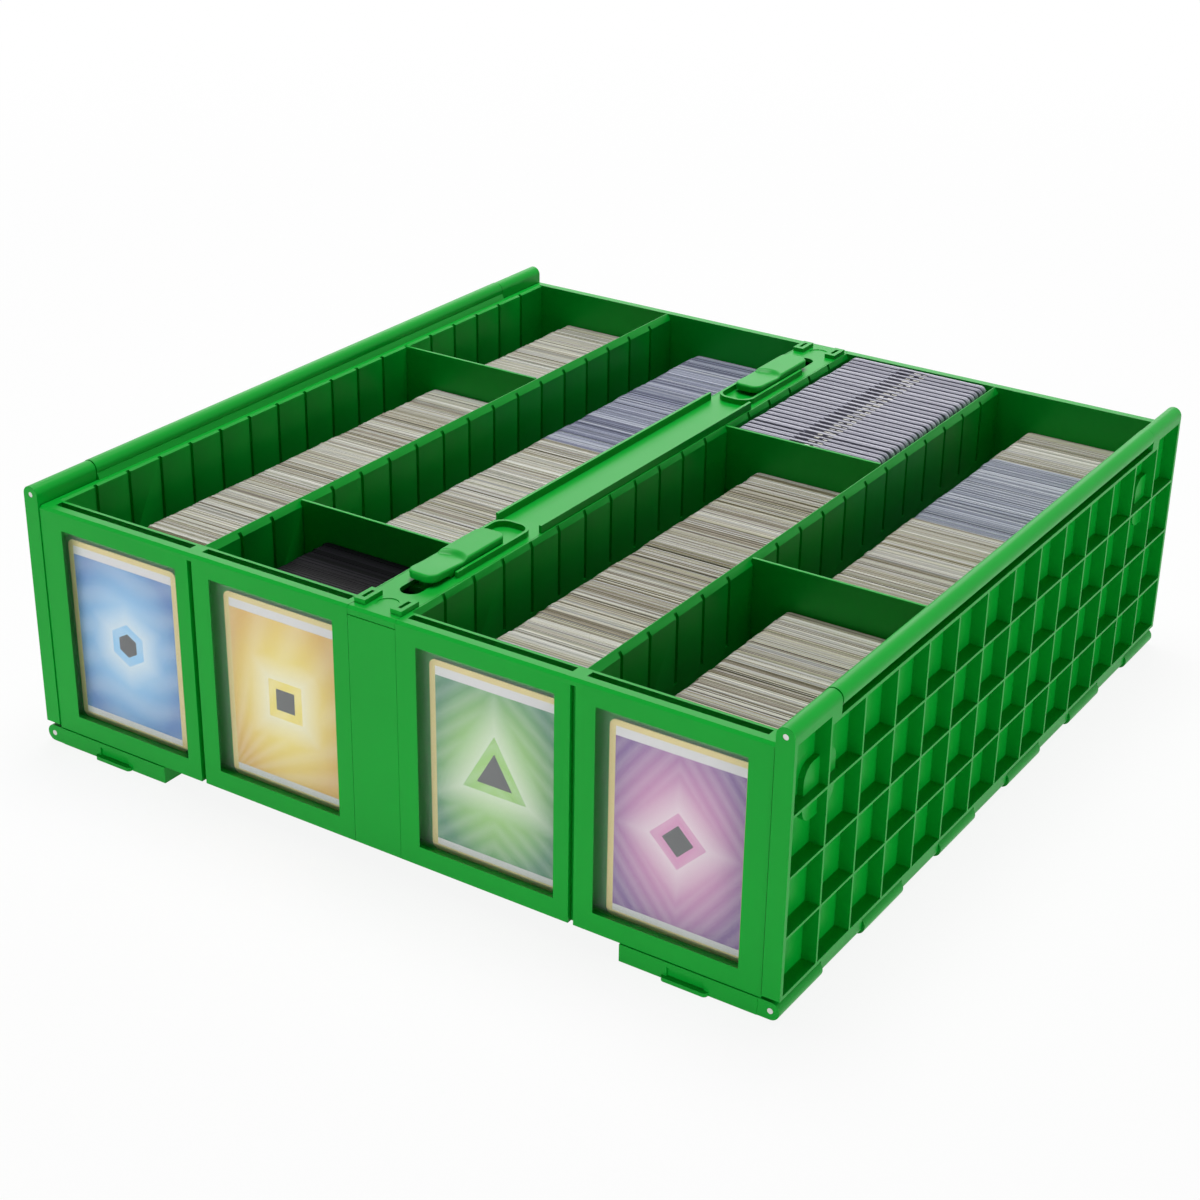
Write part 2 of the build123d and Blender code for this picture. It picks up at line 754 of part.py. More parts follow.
card_stacks = (
    ("row_1_front_cards", 0, stack_front, before_divider[0], card_width, card_height),
    ("row_1_rear_cards", 0, behind_divider[0], stack_back, card_width, card_height),
    ("row_2_sleeved_cards", 1, stack_front, before_divider[1], sleeve_width, sleeve_height),
    ("row_2_middle_cards", 1, behind_divider[1], violet_front, card_width, card_height),
    ("row_2_rear_cards", 1, violet_front, stack_back, card_width, card_height),
    ("row_3_front_cards", 2, stack_front, before_divider[2], card_width, card_height),
    ("row_4_front_cards", 3, stack_front, before_divider[3], card_width, card_height),
    ("row_4_middle_cards", 3, behind_divider[3], blue_front, card_width, card_height),
    ("row_4_blue_cards", 3, blue_front, last_front, card_width, card_height),
    ("row_4_rear_cards", 3, last_front, stack_back, card_width, card_height),
)
for name, row, near, far, width, height in card_stacks:
    stack_x = row_centres[row] + row_width / 2 - stack_gap - width / 2
    with BuildPart() as card_stack:
        block(
            (stack_x - width / 2, near, floor_top + stack_lift),
            (stack_x + width / 2, far, floor_top + stack_lift + height),
        )
        fillet(card_stack.edges().filter_by(Axis.Y).group_by(Axis.Z)[-1], card_corner)
    save(card_stack, name)

# Rigid card holders behind the divider of the third row, notched between one holder and the next
holder_width = row_width - holder_room
holder_x = row_centres[2] + row_width / 2 - stack_gap - holder_width / 2
holder_top = floor_top + stack_lift + holder_height
holder_length = stack_back - behind_divider[2]
with BuildPart() as card_holders:
    with BuildSketch(along_y(stack_back)):
        with Locations((holder_x, holder_top - holder_height / 2)):
            Rectangle(holder_width, holder_height)
    extrude(amount=holder_length)
    with BuildSketch(Plane.XY.offset(holder_top)):
        with Locations((holder_x, (stack_back + behind_divider[2]) / 2)):
            with GridLocations(holder_width, holder_length / holder_count, 1, holder_count - 1):
                Rectangle(holder_width, holder_notch_width)
    extrude(amount=-holder_notch_depth, mode=Mode.SUBTRACT)
save(card_holders, "row_3_card_holders")
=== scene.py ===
"""Looks of a card storage bin: green mouldings, clear windows, printed cards and rows of stored cards.

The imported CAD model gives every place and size. Each class below builds one sub-assembly on top of it.
"""
import json
import logging
import math
from dataclasses import dataclass
from enum import Enum
from functools import lru_cache
from typing import Dict, List, Optional, Sequence, Tuple, Union

import bmesh
import bpy
import numpy as np
from mathutils import Matrix, Vector

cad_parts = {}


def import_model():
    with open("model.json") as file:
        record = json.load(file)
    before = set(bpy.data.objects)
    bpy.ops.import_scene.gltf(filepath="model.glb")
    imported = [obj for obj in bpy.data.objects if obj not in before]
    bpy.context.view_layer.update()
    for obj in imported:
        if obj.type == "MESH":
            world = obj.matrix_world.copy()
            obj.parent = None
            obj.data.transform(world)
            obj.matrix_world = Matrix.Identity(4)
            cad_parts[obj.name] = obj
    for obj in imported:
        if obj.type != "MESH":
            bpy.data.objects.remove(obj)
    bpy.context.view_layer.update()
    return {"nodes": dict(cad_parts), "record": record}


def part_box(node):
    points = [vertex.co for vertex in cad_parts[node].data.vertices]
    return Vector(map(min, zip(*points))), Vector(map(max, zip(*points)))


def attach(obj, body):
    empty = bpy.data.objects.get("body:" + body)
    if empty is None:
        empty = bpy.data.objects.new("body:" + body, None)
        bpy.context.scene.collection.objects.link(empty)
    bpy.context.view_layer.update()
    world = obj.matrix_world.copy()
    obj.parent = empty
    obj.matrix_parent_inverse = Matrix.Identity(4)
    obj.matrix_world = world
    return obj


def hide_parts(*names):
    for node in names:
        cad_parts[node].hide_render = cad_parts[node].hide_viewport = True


LOG = logging.getLogger("card_bin")
Colour = Tuple[float, float, float]
Place = Tuple[float, float, float]
Span = Tuple[float, float]
Stops = Sequence[Tuple[float, Colour]]
Setting = Union[float, Tuple[float, ...], bpy.types.NodeSocket]
Faces = List[List[int]]

ROWS = range(1, 5)
WHITE = (1.0, 1.0, 1.0, 1.0)
COS_30, SIN_30, COS_45 = 0.866, 0.5, 0.707


class Slot(str, Enum):
    """Material slots of the record."""

    GREEN = "green_moulding"
    STEEL = "pin_steel"
    PANE = "clear_pane"
    PRINT = "printed_card"
    EDGES = "card_edges"
    VIOLET = "violet_card_edges"
    BLUE = "blue_card_edges"
    SLEEVE = "black_sleeves"
    HOLDER = "holder_plastic"


class Motif(Enum):
    """Plain geometric patterns for the displayed cards."""

    WAVES = "waves"
    RAYS = "rays"
    CHEVRONS = "chevrons"
    DIAMONDS = "diamonds"


def linear(red: float, green: float, blue: float) -> Colour:
    """Scene-linear colour from 8-bit display values, by the sRGB curve.

    Args:
        red, green, blue: display values from 0 to 255.

    Returns:
        The three linear values.
    """
    share = np.array([red, green, blue]) / 255.0
    curve = np.where(share <= 0.04045, share / 12.92, ((share + 0.055) / 1.055) ** 2.4)
    return tuple(float(v) for v in curve)


def shades(*stops: Tuple[float, float, float, float]) -> Stops:
    """Stops of a colour ramp, each given by its place and its three display values."""
    return tuple((place, linear(*shown)) for place, *shown in stops)


def opaque(colour: Colour, gain: float = 1.0) -> Tuple[float, float, float, float]:
    """A colour with alpha 1, made lighter or darker by a gain."""
    return (colour[0] * gain, colour[1] * gain, colour[2] * gain, 1.0)


def put(tree: bpy.types.NodeTree, kind: str, values: Optional[Dict[Union[str, int], Setting]] = None,
        **props: object) -> bpy.types.Node:
    """Add a node, set its properties, then set or link its inputs.

    Args:
        tree: node tree to add to.
        kind: node type name.
        values: input name or index to a constant or to a socket that feeds it.
        props: properties of the node.

    Returns:
        The new node.
    """
    made = tree.nodes.new(kind)
    for key, value in props.items():
        setattr(made, key, value)
    for key, value in (values or {}).items():
        if isinstance(value, bpy.types.NodeSocket):
            tree.links.new(value, made.inputs[key])
        else:
            made.inputs[key].default_value = value
    return made


def calc(tree: bpy.types.NodeTree, operation: str, first: Setting, second: Setting = 0.0,
         third: Setting = 0.0) -> bpy.types.NodeSocket:
    """Output of a math node.

    Args:
        tree: node tree to add to.
        operation: name of the operation.
        first, second, third: its operands.

    Returns:
        The value socket.
    """
    return put(tree, "ShaderNodeMath", {0: first, 1: second, 2: third}, operation=operation).outputs[0]


def mix(tree: bpy.types.NodeTree, share: Setting, low: Setting, high: Setting) -> bpy.types.NodeSocket:
    """Colour between two colours, with alpha: a share of 0 gives low, 1 gives high."""
    return put(tree, "ShaderNodeMix", {0: share, 6: low, 7: high}, data_type="RGBA").outputs[2]


def spread(tree: bpy.types.NodeTree, value: Setting, low: float, high: float) -> bpy.types.NodeSocket:
    """A value from 0 to 1 mapped to a range."""
    return put(tree, "ShaderNodeMapRange", {0: value, 3: low, 4: high}).outputs[0]


def ramp(tree: bpy.types.NodeTree, value: Setting, stops: Stops) -> bpy.types.NodeSocket:
    """Colour ramp over a value.

    Args:
        tree: node tree to add to.
        value: where on the ramp.
        stops: position and colour of each stop, in order.

    Returns:
        The colour socket.
    """
    made = put(tree, "ShaderNodeValToRGB", {0: value})
    points = made.color_ramp.elements
    while len(points) < len(stops):
        points.new(0.5)
    for point, (place, colour) in zip(points, stops):
        point.position = place
        point.color = opaque(colour)
    return made.outputs[0]


def seen_white(tree: bpy.types.NodeTree) -> bpy.types.NodeSocket:
    """Value that is 1 for camera, glossy and transmission rays.

    Args:
        tree: node tree to add to.

    Returns:
        The value socket.
    """
    path = tree.nodes.new("ShaderNodeLightPath").outputs
    shiny = calc(tree, "MAXIMUM", path["Is Glossy Ray"], path["Is Transmission Ray"])
    return calc(tree, "MAXIMUM", path["Is Camera Ray"], shiny)


class Group:
    """A shader node group with named inputs and outputs."""

    def __init__(self, name: str, inputs: Sequence[Tuple[str, float]], outputs: Sequence[str]) -> None:
        """Make the empty group.

        Args:
            name: name of the group.
            inputs: name and default of each value input.
            outputs: names of the value outputs.
        """
        self.tree = bpy.data.node_groups.new(name, "ShaderNodeTree")
        for label, default in inputs:
            socket = self.tree.interface.new_socket(label, in_out="INPUT", socket_type="NodeSocketFloat")
            socket.default_value = default
        for label in outputs:
            self.tree.interface.new_socket(label, in_out="OUTPUT", socket_type="NodeSocketFloat")
        self.source = self.tree.nodes.new("NodeGroupInput")
        self.sink = self.tree.nodes.new("NodeGroupOutput")

    def give(self, label: str, value: bpy.types.NodeSocket) -> None:
        """Feed one of the group's outputs."""
        self.tree.links.new(value, self.sink.inputs[label])


@lru_cache(maxsize=None)
def mould_grain() -> bpy.types.NodeTree:
    """Group for moulded plastic: fine grain, broad tone and gloss, from noise on object coordinates.

    Gloss is the mean of the grain and of streaks drawn out upwards.

    Returns:
        The shared node group, built once.
    """
    made = Group("mould_grain", (("Grain", 1400.0), ("Flow", 14.0)), ("Height", "Tone", "Gloss"))
    tree = made.tree
    place = tree.nodes.new("ShaderNodeTexCoord").outputs["Object"]
    fine = put(tree, "ShaderNodeTexNoise",
               {"Vector": place, "Scale": made.source.outputs["Grain"], "Detail": 3.0, "Roughness": 0.55})
    broad = put(tree, "ShaderNodeTexNoise",
                {"Vector": place, "Scale": made.source.outputs["Flow"], "Detail": 4.0, "Roughness": 0.5})
    streak = put(tree, "ShaderNodeMapping", {"Vector": place, "Scale": (60.0, 60.0, 9.0)})
    drawn = put(tree, "ShaderNodeTexNoise", {"Vector": streak.outputs[0], "Scale": 1.0, "Detail": 2.0})
    made.give("Height", fine.outputs[0])
    made.give("Tone", broad.outputs[0])
    half = calc(tree, "MULTIPLY", drawn.outputs[0], 0.5)
    made.give("Gloss", calc(tree, "MULTIPLY_ADD", fine.outputs[0], 0.5, half))
    return tree


@lru_cache(maxsize=None)
def paper_edge() -> bpy.types.NodeTree:
    """Group for cut card edges: a tone per card with fibre noise along the edge.

    Returns:
        The shared node group, built once. Its Tone is the card's own tone plus fibre.
    """
    made = Group("paper_edge", (("Fibre", 0.16),), ("Tone", "Height"))
    tree = made.tree
    place = tree.nodes.new("ShaderNodeTexCoord").outputs["Object"]
    along = put(tree, "ShaderNodeMapping", {"Vector": place, "Scale": (90.0, 2600.0, 400.0)})
    fibre = put(tree, "ShaderNodeTexNoise", {"Vector": along.outputs[0], "Scale": 1.0, "Detail": 3.0})
    card = put(tree, "ShaderNodeAttribute", attribute_name="tone", attribute_type="GEOMETRY")
    signed = calc(tree, "SUBTRACT", fibre.outputs[0], 0.5)
    made.give("Tone", calc(tree, "MULTIPLY_ADD", signed, made.source.outputs["Fibre"], card.outputs["Fac"]))
    made.give("Height", fibre.outputs[0])
    return tree


@lru_cache(maxsize=None)
def card_face() -> bpy.types.NodeTree:
    """Group for a printed card: place on the card in millimetres from its middle, and masks.

    The vignette grows with the square of the distance from the middle, over an ellipse.

    Returns:
        The shared node group, built once. Border is 1 on the outer border, Band on the pale strips above and
        below the field, and Vignette goes from 0 in the middle to 1 at the ellipse.
    """
    border_side, border_end = 28.7, 41.4
    band_above, band_below = 37.4, -38.4
    ellipse_across, ellipse_up = 33.0, 46.0
    made = Group("card_face", (("Width", 63.0), ("Height", 88.0)),
                 ("Across", "Up", "Border", "Band", "Vignette"))
    tree = made.tree
    uv = put(tree, "ShaderNodeUVMap", uv_map="card")
    parts = put(tree, "ShaderNodeSeparateXYZ", {0: uv.outputs[0]})
    across, up = (calc(tree, "MULTIPLY", calc(tree, "SUBTRACT", part, 0.5), made.source.outputs[size])
                  for part, size in ((parts.outputs[0], "Width"), (parts.outputs[1], "Height")))
    made.give("Across", across)
    made.give("Up", up)
    aside = calc(tree, "GREATER_THAN", calc(tree, "ABSOLUTE", across), border_side)
    ends = calc(tree, "GREATER_THAN", calc(tree, "ABSOLUTE", up), border_end)
    made.give("Border", calc(tree, "MAXIMUM", aside, ends))
    above = calc(tree, "GREATER_THAN", up, band_above)
    below = calc(tree, "LESS_THAN", up, band_below)
    made.give("Band", calc(tree, "MAXIMUM", above, below))
    wide = calc(tree, "POWER", calc(tree, "DIVIDE", across, ellipse_across), 2.0)
    tall = calc(tree, "POWER", calc(tree, "DIVIDE", up, ellipse_up), 2.0)
    made.give("Vignette", calc(tree, "MINIMUM", calc(tree, "ADD", wide, tall), 1.0))
    return tree


class Finish:
    """Common making of a material with one Principled shader."""

    def start(self, name: str,
              **constants: object) -> Tuple[bpy.types.Material, bpy.types.NodeTree, bpy.types.Node]:
        """New material with a Principled shader.

        Args:
            name: material name.
            constants: Principled inputs that are the same all over, with spaces written as underscores.

        Returns:
            The material, its node tree and the shader node.
        """
        material = bpy.data.materials.new(name)
        material.use_nodes = True
        tree = material.node_tree
        shader = tree.nodes["Principled BSDF"]
        for key, value in constants.items():
            shader.inputs[key.replace("_", " ")].default_value = value
        return material, tree, shader

    def feed(self, tree: bpy.types.NodeTree, shader: bpy.types.Node, **sources: bpy.types.NodeSocket) -> None:
        """Link what changes over the surface to the shader.

        Args:
            tree, shader: material tree and its shader.
            sources: Principled inputs, with spaces written as underscores, and the sockets that feed them.
        """
        for key, source in sources.items():
            tree.links.new(source, shader.inputs[key.replace("_", " ")])

    def toned(self, tree: bpy.types.NodeTree, share: Setting, colour: Colour,
              gains: Span) -> bpy.types.NodeSocket:
        """A colour between its darker and its lighter form."""
        return mix(tree, share, opaque(colour, gains[0]), opaque(colour, gains[1]))

    def bumps(self, tree: bpy.types.NodeTree, height: bpy.types.NodeSocket, strength: float,
              distance: float) -> bpy.types.NodeSocket:
        """Normal from a height, by a bump of a given strength and distance."""
        made = put(tree, "ShaderNodeBump", {"Strength": strength, "Distance": distance, "Height": height})
        return made.outputs[0]


@dataclass(frozen=True)
class MouldedPlastic(Finish):
    """Satin injection-moulded plastic with a fine grain and slight flow tone."""

    name: str
    colour: Colour
    gloss: Span = (0.30, 0.42)
    tone: Span = (0.9, 1.1)
    grain: float = 1400.0
    bump: Span = (0.10, 0.00006)
    specular: float = 0.19
    ior: float = 1.49

    def make(self) -> bpy.types.Material:
        """Build the material.

        Returns:
            The material.
        """
        material, tree, shader = self.start(self.name, Specular_IOR_Level=self.specular, IOR=self.ior)
        grain = put(tree, "ShaderNodeGroup", {"Grain": self.grain}, node_tree=mould_grain()).outputs
        self.feed(tree, shader, Base_Color=self.toned(tree, grain["Tone"], self.colour, self.tone),
                  Roughness=spread(tree, grain["Gloss"], *self.gloss),
                  Normal=self.bumps(tree, grain["Height"], *self.bump))
        return material


@dataclass(frozen=True)
class CutCards(Finish):
    """Cut edges of stacked cards, each card with its own tone on a colour ramp."""

    name: str
    stops: Stops
    fibre: float = 0.16
    rough: float = 0.72
    specular: float = 0.25
    bump: Span = (0.25, 0.0001)

    def make(self) -> bpy.types.Material:
        """Build the material.

        Returns:
            The material.
        """
        material, tree, shader = self.start(self.name, Roughness=self.rough, Specular_IOR_Level=self.specular)
        edge = put(tree, "ShaderNodeGroup", {"Fibre": self.fibre}, node_tree=paper_edge()).outputs
        self.feed(tree, shader, Base_Color=ramp(tree, edge["Tone"], self.stops),
                  Normal=self.bumps(tree, edge["Height"], *self.bump))
        return material


@dataclass(frozen=True)
class RigidHolder(Finish):
    """Clear rigid holders seen on edge, a pale glossy plastic with a tone for each plate: the lighter tones
    are a painted sheen and the darker ones painted shade.
    """

    name: str
    stops: Stops
    fibre: float = 0.35
    gloss: Span = (0.3, 0.45)
    specular: float = 0.2
    ior: float = 1.54

    def make(self) -> bpy.types.Material:
        """Build the material.

        Returns:
            The material.
        """
        material, tree, shader = self.start(self.name, Specular_IOR_Level=self.specular, IOR=self.ior)
        edge = put(tree, "ShaderNodeGroup", {"Fibre": self.fibre}, node_tree=paper_edge()).outputs
        grain = put(tree, "ShaderNodeGroup", node_tree=mould_grain()).outputs
        self.feed(tree, shader, Base_Color=ramp(tree, edge["Tone"], self.stops),
                  Roughness=spread(tree, grain["Gloss"], *self.gloss))
        return material


@dataclass(frozen=True)
class PrintedCard(Finish):
    """Coated printed card: a pale gold border, two silver strips and a field with a plain pattern.

    Attributes:
        name, motif: material name and pattern.
        edge, heart: colours of the field at its outside and in its middle.
        gold, silver, ink, light: colours of border, strips, figure, and of pattern and glow.
        sway, sway_length, wave_length: height and length of the bend in the waves, and their own length.
        ray_corner, rays: distance of the rays' corner from the middle, and rays in a radian.
        chevron_slope, diamond_slope, fold: slopes of the folded stripes, and their width.
        stripe_share, glow_share: share of the light colour in the pattern and in the glow about the figure.
        glow, figure_size: where the glow starts and ends and where the figure ends, from the middle.
        gloss: roughness of field and border.
    """

    name: str
    motif: Motif
    edge: Colour
    heart: Colour
    gold: Colour = linear(226, 206, 142)
    silver: Colour = linear(222, 219, 222)
    ink: Colour = linear(72, 70, 76)
    light: Colour = (0.92, 0.92, 0.9)
    sway: float = 2.6
    sway_length: float = 7.5
    wave_length: float = 2.4
    ray_corner: Span = (34.0, 46.0)
    rays: float = 30.0
    chevron_slope: float = 0.8
    diamond_slope: float = 1.3
    fold: float = 4.6
    stripe_share: float = 0.14
    glow_share: float = 0.6
    glow: Span = (9.0, 21.0)
    figure_size: float = 5.0
    gloss: Span = (0.36, 0.28)
    specular: float = 0.45

    def stripes(self, tree: bpy.types.NodeTree, across: Setting, up: Setting) -> bpy.types.NodeSocket:
        """Pattern value from 0 to 1 over the field.

        Waves are a sine of height bent by a sine across; rays a sine of the angle about a low corner;
        chevrons and diamonds a triangle wave of height plus a share of the distance from the middle line.

        Args:
            tree: material tree.
            across, up: place on the card in millimetres.

        Returns:
            The value socket.
        """
        if self.motif is Motif.WAVES:
            bend = calc(tree, "SINE", calc(tree, "DIVIDE", across, self.sway_length))
            bent = calc(tree, "ADD", up, calc(tree, "MULTIPLY", bend, self.sway))
            wave = calc(tree, "SINE", calc(tree, "DIVIDE", bent, self.wave_length))
            return calc(tree, "MULTIPLY_ADD", wave, 0.5, 0.5)
        if self.motif is Motif.RAYS:
            beside, below = self.ray_corner
            angle = calc(tree, "ARCTAN2", calc(tree, "ADD", up, below), calc(tree, "ADD", across, beside))
            ray = calc(tree, "SINE", calc(tree, "MULTIPLY", angle, self.rays))
            return calc(tree, "MULTIPLY_ADD", ray, 0.5, 0.5)
        chevrons = self.motif is Motif.CHEVRONS
        slope = self.chevron_slope if chevrons else self.diamond_slope
        aside = calc(tree, "MULTIPLY", calc(tree, "ABSOLUTE", across), slope)
        height = up if chevrons else calc(tree, "ABSOLUTE", up)
        folded = calc(tree, "PINGPONG", calc(tree, "ADD", height, aside), self.fold)
        return calc(tree, "DIVIDE", folded, self.fold)

    def figure(self, tree: bpy.types.NodeTree, across: Setting, up: Setting) -> bpy.types.NodeSocket:
        """Distance from the middle of a plain figure, in millimetres, alike along each of its sides.

        A hexagon, square, triangle or diamond is the greatest distance along the normals of its sides.

        Args:
            tree: material tree.
            across, up: place on the card in millimetres.

        Returns:
            The value socket.
        """
        aside, tall = calc(tree, "ABSOLUTE", across), calc(tree, "ABSOLUTE", up)
        if self.motif is Motif.WAVES:
            slant = calc(tree, "MULTIPLY_ADD", tall, COS_30, calc(tree, "MULTIPLY", aside, SIN_30))
            return calc(tree, "MAXIMUM", aside, slant)
        if self.motif is Motif.RAYS:
            return calc(tree, "MAXIMUM", aside, tall)
        if self.motif is Motif.CHEVRONS:
            slant = calc(tree, "MULTIPLY_ADD", up, SIN_30, calc(tree, "MULTIPLY", aside, COS_30))
            return calc(tree, "MAXIMUM", slant, calc(tree, "MULTIPLY", up, -1.0))
        return calc(tree, "MULTIPLY", calc(tree, "ADD", aside, tall), COS_45)

    def make(self) -> bpy.types.Material:
        """Build the material.

        Returns:
            The material.
        """
        material, tree, shader = self.start(self.name, Specular_IOR_Level=self.specular)
        face = put(tree, "ShaderNodeGroup", node_tree=card_face()).outputs
        pattern = self.stripes(tree, face["Across"], face["Up"])
        away = self.figure(tree, face["Across"], face["Up"])
        inner, outer = self.glow
        limits = {0: away, 1: inner, 2: outer, 3: self.glow_share, 4: 0.0}
        fade = put(tree, "ShaderNodeMapRange", limits).outputs[0]
        glow = calc(tree, "MULTIPLY", fade, calc(tree, "GREATER_THAN", away, inner))
        share = calc(tree, "MAXIMUM", calc(tree, "MULTIPLY", pattern, self.stripe_share), glow)
        whole = mix(tree, face["Vignette"], opaque(self.heart), opaque(self.edge))
        layers = ((share, self.light), (calc(tree, "LESS_THAN", away, self.figure_size), self.ink),
                  (face["Band"], self.silver), (face["Border"], self.gold))
        for mask, colour in layers:
            whole = mix(tree, mask, whole, opaque(colour))
        self.feed(tree, shader, Base_Color=whole, Roughness=spread(tree, face["Border"], *self.gloss))
        return material


@dataclass(frozen=True)
class ClearSheet(Finish):
    """Clear plastic sheet, nearly invisible, with a faint haze that varies over it."""

    name: str
    tint: Colour = (0.86, 0.93, 0.89)
    haze: Span = (0.05, 0.09)
    gloss: Span = (0.08, 0.2)
    specular: float = 0.5

    def make(self) -> bpy.types.Material:
        """Build the material.

        Returns:
            The material.
        """
        material, tree, shader = self.start(self.name, Base_Color=opaque(self.tint),
                                            Specular_IOR_Level=self.specular)
        grain = put(tree, "ShaderNodeGroup", node_tree=mould_grain()).outputs
        self.feed(tree, shader, Alpha=spread(tree, grain["Tone"], *self.haze),
                  Roughness=spread(tree, grain["Gloss"], *self.gloss))
        return material


@dataclass(frozen=True)
class DrawnSteel(Finish):
    """Bright drawn wire with a slight change of tone and gloss."""

    name: str
    colour: Colour = (0.62, 0.62, 0.6)
    tone: Span = (0.85, 1.1)
    gloss: Span = (0.18, 0.42)

    def make(self) -> bpy.types.Material:
        """Build the material.

        Returns:
            The material.
        """
        material, tree, shader = self.start(self.name, Metallic=1.0)
        grain = put(tree, "ShaderNodeGroup", node_tree=mould_grain()).outputs
        self.feed(tree, shader, Base_Color=self.toned(tree, grain["Tone"], self.colour, self.tone),
                  Roughness=spread(tree, grain["Gloss"], *self.gloss))
        return material


@dataclass(frozen=True)
class PaleFloor(Finish):
    """Floor that stays white to the camera and keeps a soft shadow, which fades out away from the bin.

    Attributes:
        name: material name.
        tone, rough: grey value and roughness under the lamps.
        shadow_share: share of its light and shade that the camera sees.
        fade: distances from the bin's middle between which that share goes to nothing.
    """

    name: str = "pale_floor"
    tone: float = 0.9
    rough: float = 0.9
    shadow_share: float = 0.1
    fade: Span = (0.35, 1.5)

    def make(self) -> bpy.types.Material:
        """Build the material.

        Returns:
            The material.
        """
        material, tree, shader = self.start(self.name, Base_Color=opaque((1.0, 1.0, 1.0), self.tone),
                                            Roughness=self.rough, Specular_IOR_Level=0.0)
        glow = put(tree, "ShaderNodeEmission", {"Color": WHITE, "Strength": 1.0})
        place = tree.nodes.new("ShaderNodeTexCoord").outputs["Object"]
        away = put(tree, "ShaderNodeVectorMath", {0: place}, operation="LENGTH").outputs["Value"]
        limits = {0: away, 1: self.fade[0], 2: self.fade[1], 3: 1.0 - self.shadow_share, 4: 1.0}
        plain = put(tree, "ShaderNodeMapRange", limits, interpolation_type="SMOOTHSTEP").outputs[0]
        share = calc(tree, "MULTIPLY", seen_white(tree), plain)
        both = put(tree, "ShaderNodeMixShader", {0: share, 1: shader.outputs[0], 2: glow.outputs[0]})
        tree.links.new(both.outputs[0], tree.nodes["Material Output"].inputs["Surface"])
        return material


@dataclass(frozen=True)
class Finishes:
    """All materials of the bin, by slot, and one printed card for each window."""

    by_slot: Dict[Slot, bpy.types.Material]
    prints: Sequence[bpy.types.Material]

    @classmethod
    def make(cls) -> "Finishes":
        """Build every material.

        Returns:
            The set of materials.
        """
        cream = shades((0.0, 62, 59, 50), (0.2, 124, 116, 86), (0.36, 158, 150, 142), (0.5, 188, 185, 160),
                       (0.62, 188, 187, 188), (0.78, 210, 208, 196), (1.0, 234, 233, 228))
        violet = shades((0.0, 54, 56, 74), (0.35, 114, 118, 142), (0.65, 170, 174, 190), (1.0, 212, 214, 220))
        blue = shades((0.0, 66, 70, 84), (0.35, 140, 145, 160), (0.65, 190, 194, 204), (1.0, 226, 227, 230))
        film = shades((0.0, 6, 5, 8), (0.55, 17, 15, 20), (1.0, 46, 43, 52))
        clear = shades((0.0, 56, 56, 72), (0.45, 122, 122, 138), (1.0, 175, 175, 188))
        by_slot = {
            Slot.GREEN: MouldedPlastic("moulded_green", linear(0, 157, 44)).make(),
            Slot.STEEL: DrawnSteel("drawn_steel").make(),
            Slot.PANE: ClearSheet("clear_sheet").make(),
            Slot.EDGES: CutCards("cut_card_edges", cream).make(),
            Slot.VIOLET: CutCards("cut_violet_edges", violet).make(),
            Slot.BLUE: CutCards("cut_blue_edges", blue).make(),
            Slot.SLEEVE: CutCards("black_sleeve_film", film, fibre=0.1, rough=0.4, specular=0.08).make(),
            Slot.HOLDER: RigidHolder("rigid_holder", clear).make(),
        }
        prints = [
            PrintedCard("card_blue", Motif.WAVES, linear(70, 124, 192), linear(150, 206, 246)).make(),
            PrintedCard("card_amber", Motif.RAYS, linear(222, 176, 84), linear(246, 228, 120)).make(),
            PrintedCard("card_green", Motif.CHEVRONS, linear(58, 132, 98), linear(160, 212, 112)).make(),
            PrintedCard("card_purple", Motif.DIAMONDS, linear(124, 78, 150), linear(222, 150, 196)).make(),
        ]
        by_slot[Slot.PRINT] = prints[0]
        return cls(by_slot, prints)


def add_object(name: str, data: bpy.types.ID) -> bpy.types.Object:
    """New object of the scene, at the origin.

    Args:
        name: object name.
        data: its mesh, lamp or camera.

    Returns:
        The object.
    """
    made = bpy.data.objects.new(name, data)
    bpy.context.scene.collection.objects.link(made)
    return made


def new_mesh(name: str, points: np.ndarray, faces: Faces) -> bpy.types.Mesh:
    """Mesh from whole arrays.

    Args:
        name: mesh name.
        points: vertices (vertices, 3).
        faces: vertex numbers of each face.

    Returns:
        The mesh.
    """
    mesh = bpy.data.meshes.new(name)
    mesh.from_pydata(points, [], faces)
    return mesh


def new_piece(mesh: bpy.types.Mesh, name: str, body: str, material: bpy.types.Material,
              nodes: Sequence[str]) -> bpy.types.Object:
    """Link a finished mesh as a piece that rides on a body and stands for CAD nodes.

    Args:
        mesh: mesh in the shared frame.
        name: piece name.
        body: CAD body it rides on.
        material: its material.
        nodes: CAD nodes it replaces.

    Returns:
        The new object.
    """
    piece = add_object(name, mesh)
    mesh.materials.clear()
    mesh.materials.append(material)
    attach(piece, body)
    if nodes:
        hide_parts(*nodes)
    LOG.info("%s on %s: %d faces", name, body, len(mesh.polygons))
    return piece


def soften(piece: bpy.types.Object, width: float, steps: int, angle: float, harden: bool = False) -> None:
    """Round the edges of a piece with a bevel.

    Args:
        piece: the piece.
        width, steps: width of the rounding and faces across it.
        angle: least angle of a rounded edge, in degrees.
        harden: whether flat faces keep their flat shading.
    """
    soft = piece.modifiers.new("edges", "BEVEL")
    soft.width = width
    soft.segments = steps
    soft.limit_method = "ANGLE"
    soft.angle_limit = math.radians(angle)
    soft.harden_normals = harden


